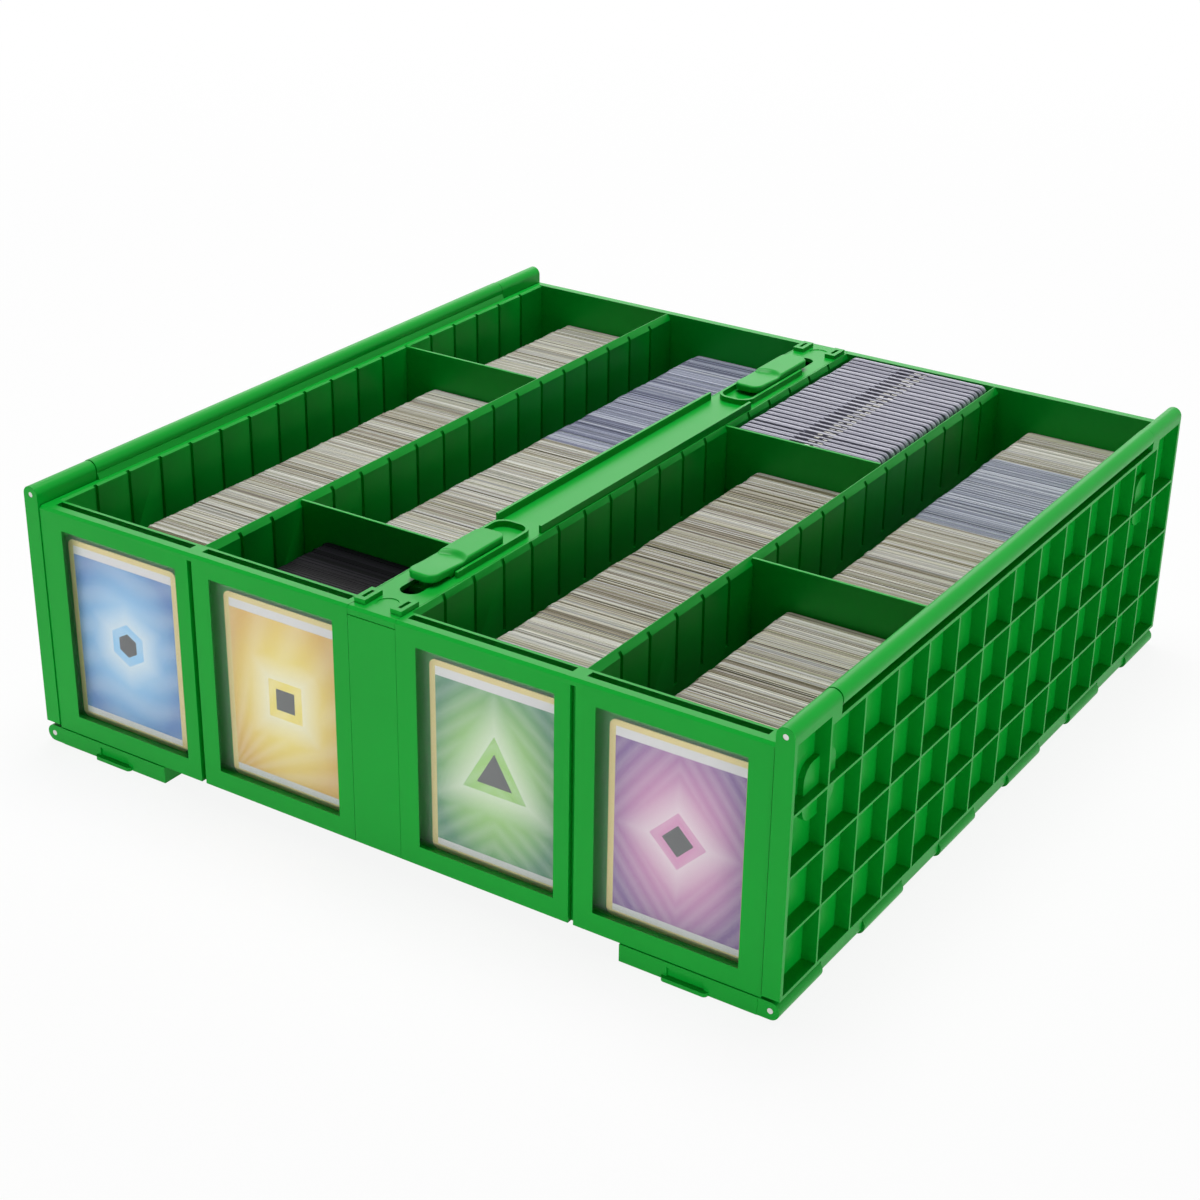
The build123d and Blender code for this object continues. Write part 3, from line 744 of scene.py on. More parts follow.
def weld(mesh: bpy.types.Mesh, gap: float, flat: float = 0.0) -> None:
    """Join the loose vertices of a mesh, and make its flat areas single faces.

    Args:
        mesh: mesh, changed in place.
        gap: vertices closer than this become one.
        flat: greatest angle between faces that become one, in radians, or 0 to keep the faces.
    """
    work = bmesh.new()
    work.from_mesh(mesh)
    bmesh.ops.remove_doubles(work, verts=work.verts, dist=gap)
    if flat:
        bmesh.ops.dissolve_limit(work, angle_limit=flat, verts=work.verts, edges=work.edges)
    work.to_mesh(mesh)
    work.free()


def read_points(mesh: bpy.types.Mesh) -> np.ndarray:
    """Vertices of a mesh.

    Args:
        mesh: mesh to read.

    Returns:
        Array (vertices, 3).
    """
    points = np.zeros(len(mesh.vertices) * 3, np.float32)
    mesh.vertices.foreach_get("co", points)
    return points.reshape(-1, 3).astype(np.float64)


def write_points(mesh: bpy.types.Mesh, points: np.ndarray) -> None:
    """Put changed vertices back into a mesh."""
    mesh.vertices.foreach_set("co", points.astype(np.float32).ravel())
    mesh.update()


def rim() -> float:
    """Height of the tub's rim."""
    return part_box("back_panel")[1].z


@dataclass
class Moulding:
    """One green moulding: its CAD solids joined into one skin, with every edge softly rounded.

    Attributes:
        name, body: name of the piece and body it rides on.
        nodes: CAD solids that it joins.
        edge_radius, edge_steps: width of the rounding and faces across it.
        crease: least angle of a rounded edge, in degrees.
        loose_gap, skin_gap: vertices closer than this become one, in a solid and in the joined skin.
        flat: greatest angle between faces that become one, in radians.
    """

    name: str
    body: str
    nodes: Sequence[str]
    edge_radius: float = 0.0004
    edge_steps: int = 3
    crease: float = 17.0
    loose_gap: float = 2e-6
    skin_gap: float = 4e-6
    flat: float = 0.01

    def redraw(self, points: np.ndarray) -> None:
        """Move vertices of the joined skin in place: none here, some where a form is drawn anew."""

    def joined(self, nodes: Dict[str, bpy.types.Object]) -> bpy.types.Mesh:
        """Union of this moulding's solids, redrawn.

        Args:
            nodes: CAD nodes by name.

        Returns:
            One mesh with the shared faces taken out and flat areas made one face.
        """
        scratch = []
        for name in self.nodes:
            loose = nodes[name].data.copy()
            weld(loose, self.loose_gap)
            scratch.append(add_object("join_" + name, loose))
        for other in scratch[1:]:
            cut = scratch[0].modifiers.new("join", "BOOLEAN")
            cut.operation = "UNION"
            cut.solver = "EXACT"
            cut.object = other
        seen = scratch[0].evaluated_get(bpy.context.evaluated_depsgraph_get())
        mesh = bpy.data.meshes.new_from_object(seen)
        for copy in scratch:
            bpy.data.objects.remove(copy)
        weld(mesh, self.skin_gap, self.flat)
        mesh.name = self.name
        points = read_points(mesh)
        self.redraw(points)
        write_points(mesh, points)
        return mesh

    def build(self, nodes: Dict[str, bpy.types.Object], material: bpy.types.Material) -> bpy.types.Object:
        """Make the piece with rounded edges.

        Args:
            nodes: CAD nodes by name.
            material: its plastic.

        Returns:
            The piece.
        """
        mesh = self.joined(nodes)
        mesh.shade_smooth()
        mesh.set_sharp_from_angle(angle=math.radians(self.crease))
        piece = new_piece(mesh, self.name, self.body, material, self.nodes)
        soften(piece, self.edge_radius, self.edge_steps, self.crease, harden=True)
        return piece


@dataclass(frozen=True)
class RimSlope:
    """Sloped upper edge on one face of a wall, as the CAD has it and as it is drawn.

    Attributes:
        node: CAD wall.
        side: 1 for the wall's face towards +X, -1 for the other.
        solid: width and height of the slope in the CAD.
        drawn: width and height of the slope in the picture.
        reach: how near to the slope its vertices lie.
    """

    node: str
    side: int
    solid: Span
    drawn: Span
    reach: float = 0.00003

    def redraw(self, points: np.ndarray) -> None:
        """Move the slope's vertices in place.

        A vertex at depth d behind the face lies on the slope where its drop below the rim is the solid height
        times (1 - d / solid width). It goes to the same depth on the drawn slope, or to its upper edge.

        Args:
            points: vertices of the tub, changed in place.
        """
        low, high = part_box(self.node)
        top = rim()
        face, inward = (high.x, -1.0) if self.side > 0 else (low.x, 1.0)
        depth = (points[:, 0] - face) * inward
        drop = top - points[:, 2]
        on_slope = np.abs(drop - self.solid[1] * (1.0 - depth / self.solid[0])) < self.reach
        on_slope &= (depth > -self.reach) & (depth < self.solid[0] + self.reach)
        on_slope &= (points[:, 1] > low.y - self.reach) & (points[:, 1] < high.y + self.reach)
        moved = np.where(depth > self.solid[0] - self.reach, self.drawn[0], depth)[on_slope]
        points[on_slope, 0] = face + inward * moved
        points[on_slope, 2] = top - self.drawn[1] * (1.0 - moved / self.drawn[0])


@dataclass(frozen=True)
class WindowEdge:
    """Edges of one window, drawn as a thin frame: cut back behind its front, and narrower on the left.

    Attributes:
        row: row of the window.
        width: width of the window in the CAD.
        foot: height of its lower edge over the label slot's floor.
        top: depth of its upper edge below the rim.
        pane_clear: gap between a pane and the slot's faces.
        shift: how far the left front edge goes inwards.
        side_cut, end_cut: how far the rear edges go outwards, at the sides and at both ends.
        plate: least thickness of the plate between the front and the pane.
        reach: how near to an edge its vertices lie.
    """

    row: int
    width: float = 0.068
    foot: float = 0.0022
    top: float = 0.009
    pane_clear: float = 0.0001
    shift: float = 0.0018
    side_cut: float = 0.0034
    end_cut: float = 0.002
    plate: float = 0.001
    reach: float = 0.00005

    def redraw(self, points: np.ndarray) -> None:
        """Move the window's vertices in place.

        A vertex of the window is one of its four corners, at the front plane or at the plane of the slot.
        Those at the front left go right by the shift, and those at the slot go outwards by the cuts.

        Args:
            points: vertices of the tub, changed in place.
        """
        low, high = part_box(f"row_{self.row}_window_pane")
        middle = (low.x + high.x) / 2
        foot = low.z - self.pane_clear + self.foot
        top = rim() - self.top
        across, up = points[:, 0] - middle, points[:, 2]
        corners = np.abs(np.abs(across) - self.width / 2) < self.reach
        corners &= (np.abs(up - foot) < self.reach) | (np.abs(up - top) < self.reach)
        rear = corners & (np.abs(points[:, 1] - (low.y - self.pane_clear)) < self.reach)
        front = corners & (points[:, 1] < low.y - self.plate) & (across < 0.0)
        LOG.info("window %d: %d front and %d rear corners", self.row, front.sum(), rear.sum())
        points[rear, 0] += self.side_cut * np.sign(across[rear])
        points[rear, 2] += self.end_cut * np.where(up[rear] > (foot + top) / 2, 1.0, -1.0)
        points[front, 0] += self.shift


@dataclass
class TubMoulding(Moulding):
    """The tub, with the upper edges of its walls drawn as ridges and thin window frames.

    Attributes:
        row_slope, spine_slope: width and height of the walls' sloped upper edges in the CAD.
        row_ridge, side_edge, spine_edge: the same as drawn, on row walls, side walls and spine.
    """

    row_slope: Span = (0.0015, 0.0052)
    row_ridge: Span = (0.00215, 0.0031)
    side_edge: Span = (0.0015, 0.0006)
    spine_slope: Span = (0.0012, 0.004)
    spine_edge: Span = (0.0012, 0.0026)

    def redraw(self, points: np.ndarray) -> None:
        """Draw the rim slopes and the windows anew.

        Args:
            points: vertices of the tub, changed in place.
        """
        for name, side in (("left", -1), ("right", 1)):
            RimSlope(f"{name}_row_wall", 1, self.row_slope, self.row_ridge).redraw(points)
            RimSlope(f"{name}_row_wall", -1, self.row_slope, self.row_ridge).redraw(points)
            RimSlope(f"{name}_spine_wall", side, self.spine_slope, self.spine_edge).redraw(points)
            RimSlope(f"{name}_side_wall", -side, self.row_slope, self.side_edge).redraw(points)
        for row in ROWS:
            WindowEdge(row).redraw(points)


@dataclass
class FlapMoulding(Moulding):
    """A lid flap, with a little play over its locking tongues for the latches that slide across them.

    Attributes:
        tongue_top: height of the tongues' upper faces at rest.
        tongue_from, tongue_to: distances of a tongue's sides from the bin's middle plane.
        tongue_end: how far the tongues reach to the front and back.
        play: how far their upper faces are lowered.
        reach: how near to that height their vertices lie.
    """

    tongue_top: float = 0.0017
    tongue_from: float = 0.1239
    tongue_to: float = 0.1309
    tongue_end: float = 0.176
    play: float = 0.00015
    reach: float = 0.00003

    def redraw(self, points: np.ndarray) -> None:
        """Lower the upper faces of the tongues by the play.

        Args:
            points: vertices of the flap, changed in place.
        """
        aside = np.abs(points[:, 0])
        upper = (np.abs(points[:, 2] - self.tongue_top) < self.reach) & (aside > self.tongue_from)
        upper &= (aside < self.tongue_to) & (np.abs(points[:, 1]) < self.tongue_end)
        LOG.info("%s: %d tongue corners", self.name, upper.sum())
        points[upper, 2] -= self.play


@dataclass
class DividerMoulding(Moulding):
    """A row divider, drawn up to just under the rim of the tub.

    Attributes:
        below_rim: how far its upper edge stays below the rim.
        reach: how near to its top the vertices of that edge lie.
    """

    below_rim: float = 0.0001
    reach: float = 0.0005

    def redraw(self, points: np.ndarray) -> None:
        """Raise the upper edge towards the rim."""
        points[points[:, 2] > points[:, 2].max() - self.reach, 2] = rim() - self.below_rim


@dataclass
class LatchMoulding(Moulding):
    """A sliding latch: the foot of its solid under a drawn knob with a scooped thumb rest.

    Attributes:
        knob_length, knob_thick, corner: size and corner radius of the knob.
        edge: radius of its upper edge.
        scoop, wall, bow: depth of the thumb rest, length of its steep end and how far that end is bowed.
        ahead: how far the steep end starts behind the knob's middle.
        fall, side_loss: power of the rest's way back up, and share of its depth lost at the sides.
        stations, across: points along the knob and over its width.
        lap: how far the foot reaches into the knob.
        shift: how far the knob is moved along the spine.
    """

    crease: float = 40.0
    knob_length: float = 0.0525
    knob_thick: float = 0.0034
    corner: float = 0.005
    edge: float = 0.0009
    scoop: float = 0.002
    wall: float = 0.0036
    bow: float = 0.003
    ahead: float = 0.001
    fall: float = 1.3
    side_loss: float = 0.35
    stations: int = 161
    across: int = 41
    lap: float = 0.0005
    shift: float = 0.0

    def drop(self, x: np.ndarray, y: np.ndarray, half: Span) -> np.ndarray:
        """How far the knob's upper face lies below its highest level.

        The edge is a quarter circle over the distance d from the outline: radius less the root of
        (radius^2 - (radius - d)^2). The thumb rest falls by a smooth step behind a bowed line and comes back
        up towards the front end as a power of the way left.

        Args:
            x, y: places from the knob's middle.
            half: half its width and half its length.

        Returns:
            The drop at each place.
        """
        aside, along = np.abs(x) - (half[0] - self.corner), np.abs(y) - (half[1] - self.corner)
        outer = np.hypot(np.maximum(aside, 0.0), np.maximum(along, 0.0))
        inside = self.corner - outer - np.minimum(np.maximum(aside, along), 0.0)
        left = self.edge - np.clip(inside, 0.0, self.edge)
        rounding = self.edge - np.sqrt(self.edge ** 2 - left ** 2)
        share = (x / half[0]) ** 2
        ahead = self.ahead - self.bow * share - y
        step = np.clip(ahead / self.wall, 0.0, 1.0)
        rise = 1.0 - np.clip(ahead / (half[1] + self.ahead), 0.0, 1.0)
        depth = self.scoop * rise ** self.fall * (1.0 - self.side_loss * share)
        return rounding + depth * step ** 2 * (3.0 - 2.0 * step)

    def knob(self, middle: Vector, half: Span) -> bpy.types.Mesh:
        """The knob as a profile carried along its length and closed at both ends.

        Stations and points crowd towards the edges as the sine of an evenly spaced angle. The half width at
        a station is full up to the corners and follows their circle there. Each profile is the upper face
        with one lower point on either side.

        Args:
            middle: middle of its lower face.
            half: half its width and half its length.

        Returns:
            The mesh.
        """
        y = half[1] * np.sin(np.linspace(-np.pi / 2, np.pi / 2, self.stations))
        past = np.maximum(np.abs(y) - (half[1] - self.corner), 0.0)
        reach = half[0] - self.corner + np.sqrt(np.maximum(self.corner ** 2 - past ** 2, 0.0))
        x = reach[:, None] * np.sin(np.linspace(-np.pi / 2, np.pi / 2, self.across))
        count = self.across + 2
        points = np.zeros((self.stations, count, 3))
        points[:, 1:-1, 0] = x
        points[:, 0, 0], points[:, -1, 0] = -reach, reach
        points[..., 1] = y[:, None]
        points[:, 1:-1, 2] = self.knob_thick - self.drop(x, points[:, 1:-1, 1], half)
        points += np.array(middle)
        ring = np.arange(count)
        after = np.roll(ring, -1)
        first = (np.arange(self.stations - 1) * count)[:, None]
        sides = np.stack([first + ring, first + after, first + count + after, first + count + ring], axis=2)
        ends = [ring[::-1].tolist(), (ring + (self.stations - 1) * count).tolist()]
        return new_mesh(self.name + "_knob", points.reshape(-1, 3), sides.reshape(-1, 4).tolist() + ends)

    def joined(self, nodes: Dict[str, bpy.types.Object]) -> bpy.types.Mesh:
        """The solid cut off under its knob and closed, with the drawn knob over it.

        Args:
            nodes: CAD nodes by name.

        Returns:
            One mesh of two closed shells that lap.
        """
        mesh = super().joined(nodes)
        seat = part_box(self.nodes[0])[1].z - self.knob_thick
        points = read_points(mesh)
        top = points[points[:, 2] > seat + self.lap]
        middle = Vector((0.0, (top[:, 1].min() + top[:, 1].max()) / 2 + self.shift, seat))
        half = (float(np.abs(top[:, 0]).max()), self.knob_length / 2)
        work = bmesh.new()
        work.from_mesh(mesh)
        whole = work.verts[:] + work.edges[:] + work.faces[:]
        cut = bmesh.ops.bisect_plane(work, geom=whole, plane_co=(0.0, 0.0, seat - self.lap),
                                     plane_no=(0.0, 0.0, 1.0), clear_outer=True)["geom_cut"]
        bmesh.ops.edgeloop_fill(work, edges=[part for part in cut if isinstance(part, bmesh.types.BMEdge)])
        bmesh.ops.recalc_face_normals(work, faces=work.faces)
        bmesh.ops.translate(work, verts=[part for part in cut if isinstance(part, bmesh.types.BMVert)],
                            vec=(0.0, 0.0, 2.0 * self.lap))
        work.from_mesh(self.knob(middle, half))
        work.to_mesh(mesh)
        work.free()
        return mesh


def rounded_top(width: float, height: float, corner: float, steps: int) -> np.ndarray:
    """Outline of an upright card with round upper corners.

    The outline runs from the lower left corner to the lower right, then up and round: a corner point is its
    centre plus the radius times (cos, sin) of an angle that goes through a quarter turn.

    Args:
        width, height: size of the card.
        corner: corner radius.
        steps: points on each corner.

    Returns:
        Array (2 + 2 * steps, 2) of across and up, anticlockwise seen from the front.
    """
    turn = np.linspace(0.0, np.pi / 2, steps)
    turn = np.concatenate([turn, turn + np.pi / 2])
    centre = np.repeat([width - corner, corner], steps)
    top = np.stack([centre + corner * np.cos(turn), height - corner + corner * np.sin(turn)], axis=1)
    return np.concatenate([[[0.0, 0.0], [width, 0.0]], top])


def slabs(outline: np.ndarray, near: np.ndarray, far: np.ndarray, start: int = 0) -> Tuple[np.ndarray, Faces]:
    """Closed slabs, each an outline carried straight from its near plane to its far plane.

    Args:
        outline: array (slabs, points, 2) of X and Z, anticlockwise seen from the front.
        near, far: Y of both planes, one value for each slab.
        start: number of the first vertex.

    Returns:
        Vertices (slabs * 2 * points, 3) and faces: the side quads of every slab, then all near and far faces.
    """
    count, points, _ = outline.shape
    ends = np.zeros((count, 2, points, 3))
    ends[..., 0] = outline[:, None, :, 0]
    ends[..., 2] = outline[:, None, :, 1]
    ends[:, 0, :, 1] = near[:, None]
    ends[:, 1, :, 1] = far[:, None]
    ring = np.arange(points)
    after = np.roll(ring, -1)
    first = (start + np.arange(count) * 2 * points)[:, None]
    sides = np.stack([first + ring, first + points + ring, first + points + after, first + after], axis=2)
    fronts = first + ring
    backs = first + points + ring[::-1]
    return ends.reshape(-1, 3), sides.reshape(-1, 4).tolist() + fronts.tolist() + backs.tolist()


def slab_tones(tone: np.ndarray, points: int) -> np.ndarray:
    """Tone of every face of some slabs, in the order of their faces, from one for each slab."""
    return np.concatenate([np.repeat(tone, points), tone, tone])


def set_tones(mesh: bpy.types.Mesh, tone: np.ndarray) -> None:
    """Give the faces of a mesh their tones."""
    mesh.attributes.new("tone", "FLOAT", "FACE").data.foreach_set("value", tone.astype(np.float32))


@dataclass
class CardStack:
    """A row of loose cards on edge, each a thin slab with its own tone, shift and height.

    Attributes:
        node, body, slot: CAD block, body it rides on and material slot.
        seed: seed of its random draws.
        pitch, thickness: mean thickness of a card, and the range of single ones as shares of it.
        air: share of a card's thickness left open behind it.
        corner, steps: corner radius and points on a corner.
        gaps: share of cards left out.
        lean, lean_jumps: greatest lean in radians, and the chance that it changes from card to card.
        shift, shift_jumps, shift_bunch: greatest shift off the wall, chance of change and bunched share.
        rise, rise_jumps, rise_bunch: the same for the height over the floor.
        tone: mean and spread of the tones.
        near_jumps, far_jumps, far_share: chance of change in small and large bunches, share of the large.
        own_tone, dark, dark_tone: spread of single cards' tones, share of dark cards and how dark they are.
        tone_limits: least and greatest tone.
    """

    node: str
    body: str
    slot: Slot
    seed: int
    pitch: float = 0.00031
    thickness: Span = (0.85, 1.15)
    air: float = 0.04
    corner: float = 0.003
    steps: int = 4
    gaps: float = 0.06
    lean: float = 0.004
    lean_jumps: float = 0.05
    shift: float = 0.0013
    shift_jumps: float = 0.045
    shift_bunch: float = 0.65
    rise: float = 0.0005
    rise_jumps: float = 0.08
    rise_bunch: float = 0.5
    tone: Span = (0.5, 0.2)
    near_jumps: float = 0.45
    far_jumps: float = 0.06
    far_share: float = 0.4
    own_tone: float = 0.13
    dark: float = 0.07
    dark_tone: float = 0.4
    tone_limits: Span = (0.02, 0.98)

    def wander(self, rng: np.random.Generator, count: int, chance: float) -> np.ndarray:
        """A value from 0 to 1 for each card that stays level over a bunch of cards, then jumps.

        Args:
            rng: seeded generator.
            count: number of cards.
            chance: chance of a jump from one card to the next.

        Returns:
            One value for each card.
        """
        jump = rng.random(count) < chance
        jump[0] = True
        return rng.random(count)[np.maximum.accumulate(np.where(jump, np.arange(count), 0))]

    def scatter(self, rng: np.random.Generator, count: int, chance: float, bunch: float) -> np.ndarray:
        """A value from 0 to 1 for each card, of which a share is its bunch's and the rest its own."""
        return bunch * self.wander(rng, count, chance) + (1.0 - bunch) * rng.random(count)

    def planes(self, rng: np.random.Generator, front: float, back: float) -> Tuple[np.ndarray, np.ndarray]:
        """Near and far plane of every card.

        The planes are running sums of uneven thicknesses, scaled to fill the block, without the gaps' cards.

        Args:
            rng: seeded generator.
            front, back: Y of the block's ends.

        Returns:
            Y of the near and of the far planes.
        """
        count = int((back - front) / self.pitch)
        edges = np.cumsum(rng.uniform(*self.thickness, count + 1))
        edges = front + (edges - edges[0]) / (edges[-1] - edges[0]) * (back - front)
        keep = rng.random(count) > self.gaps
        keep[[0, -1]] = True
        near, far = edges[:-1][keep], edges[1:][keep]
        return near, far - self.air * (far - near)

    def outlines(self, rng: np.random.Generator, cards: int, low: Vector, high: Vector) -> np.ndarray:
        """Outline of every card in its place.

        A card's outline is turned about its lower left corner by a small angle, so that it leans away from
        the wall, then shifted away from the wall and raised a little.

        Args:
            rng: seeded generator.
            cards: number of cards.
            low, high: corners of the block.

        Returns:
            Array (cards, points, 2) of X and Z.
        """
        across, up = rounded_top(high.x - low.x, high.z - low.z, self.corner, self.steps).T
        lean = rng.uniform(0.0, self.lean, cards) * self.wander(rng, cards, self.lean_jumps)
        cos, sin = np.cos(lean)[:, None], np.sin(lean)[:, None]
        turned = np.stack([across * cos - up * sin, across * sin + up * cos], axis=2)
        away = self.shift * self.scatter(rng, cards, self.shift_jumps, self.shift_bunch)
        raised = self.rise * self.scatter(rng, cards, self.rise_jumps, self.rise_bunch)
        return turned + np.stack([low.x - away, low.z + raised], axis=1)[:, None, :]

    def tones(self, rng: np.random.Generator, cards: int) -> np.ndarray:
        """Tone of each card: small and large bunches of like cards, with some of its own for each.

        Args:
            rng: seeded generator.
            cards: number of cards.

        Returns:
            One tone for each card.
        """
        bunch = self.wander(rng, cards, self.near_jumps)
        bunch += self.far_share * self.wander(rng, cards, self.far_jumps) - (1.0 + self.far_share) / 2
        own = rng.normal(0.0, self.own_tone, cards)
        dark = np.where(rng.random(cards) < self.dark, self.dark_tone, 0.0)
        return np.clip(self.tone[0] + self.tone[1] * 2.0 * bunch + own - dark, *self.tone_limits)

    def build(self, finishes: Finishes) -> bpy.types.Object:
        """Make the stack inside its CAD block.

        Args:
            finishes: the bin's materials.

        Returns:
            The piece.
        """
        low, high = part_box(self.node)
        rng = np.random.default_rng(self.seed)
        near, far = self.planes(rng, low.y, high.y)
        outline = self.outlines(rng, len(near), low, high)
        name = self.node + "_each"
        mesh = new_mesh(name, *slabs(outline, near, far))
        set_tones(mesh, slab_tones(self.tones(rng, len(near)), outline.shape[1]))
        return new_piece(mesh, name, self.body, finishes.by_slot[self.slot], [self.node])


@dataclass
class HolderRow:
    """Rigid card holders on edge: each a whole back plate and a front plate with a notch over its card.

    Attributes:
        node, body, seed: CAD block, body it rides on and seed of its random draws.
        count: number of holders.
        corner, steps: corner radius and points on a corner.
        shift: greatest shift of a holder off the wall.
        front_share, back_share, seam: thickness of both plates and of their gap, as shares of the pitch.
        wide_gap, thin: holder before the wide gap, and the share of its back plate that is left.
        notch_from, notch_to: sides of the thumb notch, as shares of the width.
        notch_depth, notch_steps, notch_power: depth of the notch, points across it and power of its bowl.
        light, shade_tones: tones of back and front plates of the same clear plastic, lighter on the back
            plates as a painted sheen and darker on the front plates as painted shade.
        edge_radius, edge_steps, crease: rounding of the plates' edges, and its least angle in degrees.
        card_from: where the held cards begin, as a share of the width.
        card_depth, card_share: place and thickness of a held card, as shares of the pitch.
        card_slip, card_width: range of a bit's place and width, as shares of half the opening.
        card_below, card_height, card_tone: depth of a bit below the top, its height and its tone.
    """

    node: str = "row_3_card_holders"
    body: str = "row_3_card_holders"
    seed: int = 71
    count: int = 25
    corner: float = 0.003
    steps: int = 6
    shift: float = 0.0008
    front_share: float = 0.3
    back_share: float = 0.4
    seam: float = 0.02
    wide_gap: int = 2
    thin: float = 0.6
    notch_from: float = 0.375
    notch_to: float = 0.585
    notch_depth: float = 0.0042
    notch_steps: int = 11
    notch_power: int = 6
    # Painted sheen and painted shade: the back plates get the lighter tones below, the front plates the
    # darker ones after them.
    light: Span = (0.6, 1.0)
    shade_tones: Span = (0.42, 0.72)
    edge_radius: float = 0.00025
    edge_steps: int = 2
    crease: float = 50.0
    card_from: float = 0.47
    card_depth: Span = (0.03, 0.1)
    card_share: float = 0.17
    card_slip: float = 0.3
    card_width: Span = (0.5, 0.95)
    card_below: Span = (0.00005, 0.0008)
    card_height: float = 0.003
    card_tone: Span = (0.55, 1.0)

    def notched(self, plain: np.ndarray, width: float, height: float) -> np.ndarray:
        """Front plate outline with a notch.

        A rounded outline is opened between its two upper corners by a shallow bowl: depth times
        (1 - t^power) for t from 1 to -1 across the notch.

        Args:
            plain: rounded outline of a holder.
            width, height: its size.

        Returns:
            Array (points, 2).
        """
        t = np.linspace(1.0, -1.0, self.notch_steps)
        middle = width * (self.notch_from + self.notch_to) / 2
        reach = width * (self.notch_to - self.notch_from) / 2
        depth = self.notch_depth * (1.0 - t ** self.notch_power)
        bowl = np.stack([middle + t * reach, height - depth], axis=1)
        right = 2 + self.steps
        return np.concatenate([plain[:right], bowl, plain[right:]])

    def plates(self, rng: np.random.Generator, finishes: Finishes) -> bpy.types.Object:
        """Make both plates of every holder.

        Args:
            rng: seeded generator.
            finishes: the bin's materials.

        Returns:
            The piece.
        """
        low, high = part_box(self.node)
        width, height = high.x - low.x, high.z - low.z
        pitch = (high.y - low.y) / self.count
        order = np.arange(self.count)
        near = low.y + pitch * order
        seam = near + pitch * self.front_share
        thick = pitch * self.back_share * np.where(order == self.wide_gap, self.thin, 1.0)
        left = low.x - rng.uniform(0.0, self.shift, self.count)
        shift = np.stack([left, np.full(self.count, low.z)], axis=1)
        plain = rounded_top(width, height, self.corner, self.steps)
        front = self.notched(plain, width, height) + shift[:, None, :]
        back = plain + shift[:, None, :]
        points, faces = slabs(front, near, seam)
        more, others = slabs(back, seam + self.seam * pitch, seam + thick, len(points))
        mesh = new_mesh("holder_each", np.concatenate([points, more]), faces + others)
        # Painted sheen on the back plates and painted shade on the front plates, by their two tone ranges.
        light, shade_tones = rng.uniform(*self.light, self.count), rng.uniform(*self.shade_tones, self.count)
        set_tones(mesh, np.concatenate([slab_tones(shade_tones, front.shape[1]), slab_tones(light, back.shape[1])]))
        material = finishes.by_slot[Slot.HOLDER]
        piece = new_piece(mesh, "row_3_holders_each", self.body, material, [self.node])
        soften(piece, self.edge_radius, self.edge_steps, self.crease)
        return piece

    def cards(self, rng: np.random.Generator, finishes: Finishes) -> bpy.types.Object:
        """Make the corner of the card that shows in the right half of every notch, in two bits.

        Args:
            rng: seeded generator.
            finishes: the bin's materials.

        Returns:
            The piece.
        """
        low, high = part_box(self.node)
        pitch = (high.y - low.y) / self.count
        bits = 2 * self.count
        holder, half = np.divmod(np.arange(bits), 2)
        near = low.y + pitch * (holder + rng.uniform(*self.card_depth, bits))
        span = (self.notch_to - self.card_from) / 2
        left = self.card_from + span * (half + rng.uniform(0.0, self.card_slip, bits))
        wide = span * rng.uniform(*self.card_width, bits)
        top = high.z - rng.uniform(*self.card_below, bits)
        square = np.array([[0.0, 0.0], [1.0, 0.0], [1.0, 1.0], [0.0, 1.0]])
        across = low.x + (high.x - low.x) * (left[:, None] + wide[:, None] * square[:, 0])
        up = top[:, None] + self.card_height * (square[:, 1] - 1.0)
        outline = np.stack([across, up], axis=2)
        mesh = new_mesh("holder_cards", *slabs(outline, near, near + pitch * self.card_share))
        set_tones(mesh, slab_tones(rng.uniform(*self.card_tone, bits), len(square)))
        return new_piece(mesh, "row_3_held_cards", self.body, finishes.by_slot[Slot.EDGES], [])

    def build(self, finishes: Finishes) -> None:
        """Make the holders and the cards in them.

        Args:
            finishes: the bin's materials.
        """
        rng = np.random.default_rng(self.seed)
        self.plates(rng, finishes)
        self.cards(rng, finishes)


@dataclass
class DisplayCard:
    """One displayed card: a thin slab with round corners and a printed front.

    Attributes:
        row: row of its window.
        corner, steps: corner radius and points on a corner.
    """

    row: int
    corner: float = 0.003
    steps: int = 7

    def build(self, finishes: Finishes) -> bpy.types.Object:
        """Make the card where its CAD solid stands.

        The outline is four quarter turns about the corner centres. U and V run over its width and height.

        Args:
            finishes: the bin's materials.

        Returns:
            The piece.
        """
        node = f"row_{self.row}_display_card"
        low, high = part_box(node)
        foot, size = np.array([low.x, low.z]), np.array([high.x - low.x, high.z - low.z])
        quarter = np.linspace(0.0, np.pi / 2, self.steps)
        turn = (quarter[None, :] + np.arange(4)[:, None] * np.pi / 2).ravel()
        side = np.repeat(np.array([[1, 1], [-1, 1], [-1, -1], [1, -1]]), self.steps, axis=0)
        ring = side * (size / 2 - self.corner) + self.corner * np.stack([np.cos(turn), np.sin(turn)], axis=1)
        points, faces = slabs((foot + size / 2 + ring)[None], np.array([low.y]), np.array([high.y]))
        name = node + "_print"
        mesh = new_mesh(name, points, faces)
        corners = np.zeros(len(mesh.loops), np.int32)
        mesh.loops.foreach_get("vertex_index", corners)
        share = (points[corners][:, [0, 2]] - foot) / size
        mesh.uv_layers.new(name="card").data.foreach_set("uv", share.astype(np.float32).ravel())
        return new_piece(mesh, name, node, finishes.prints[self.row - 1], [node])


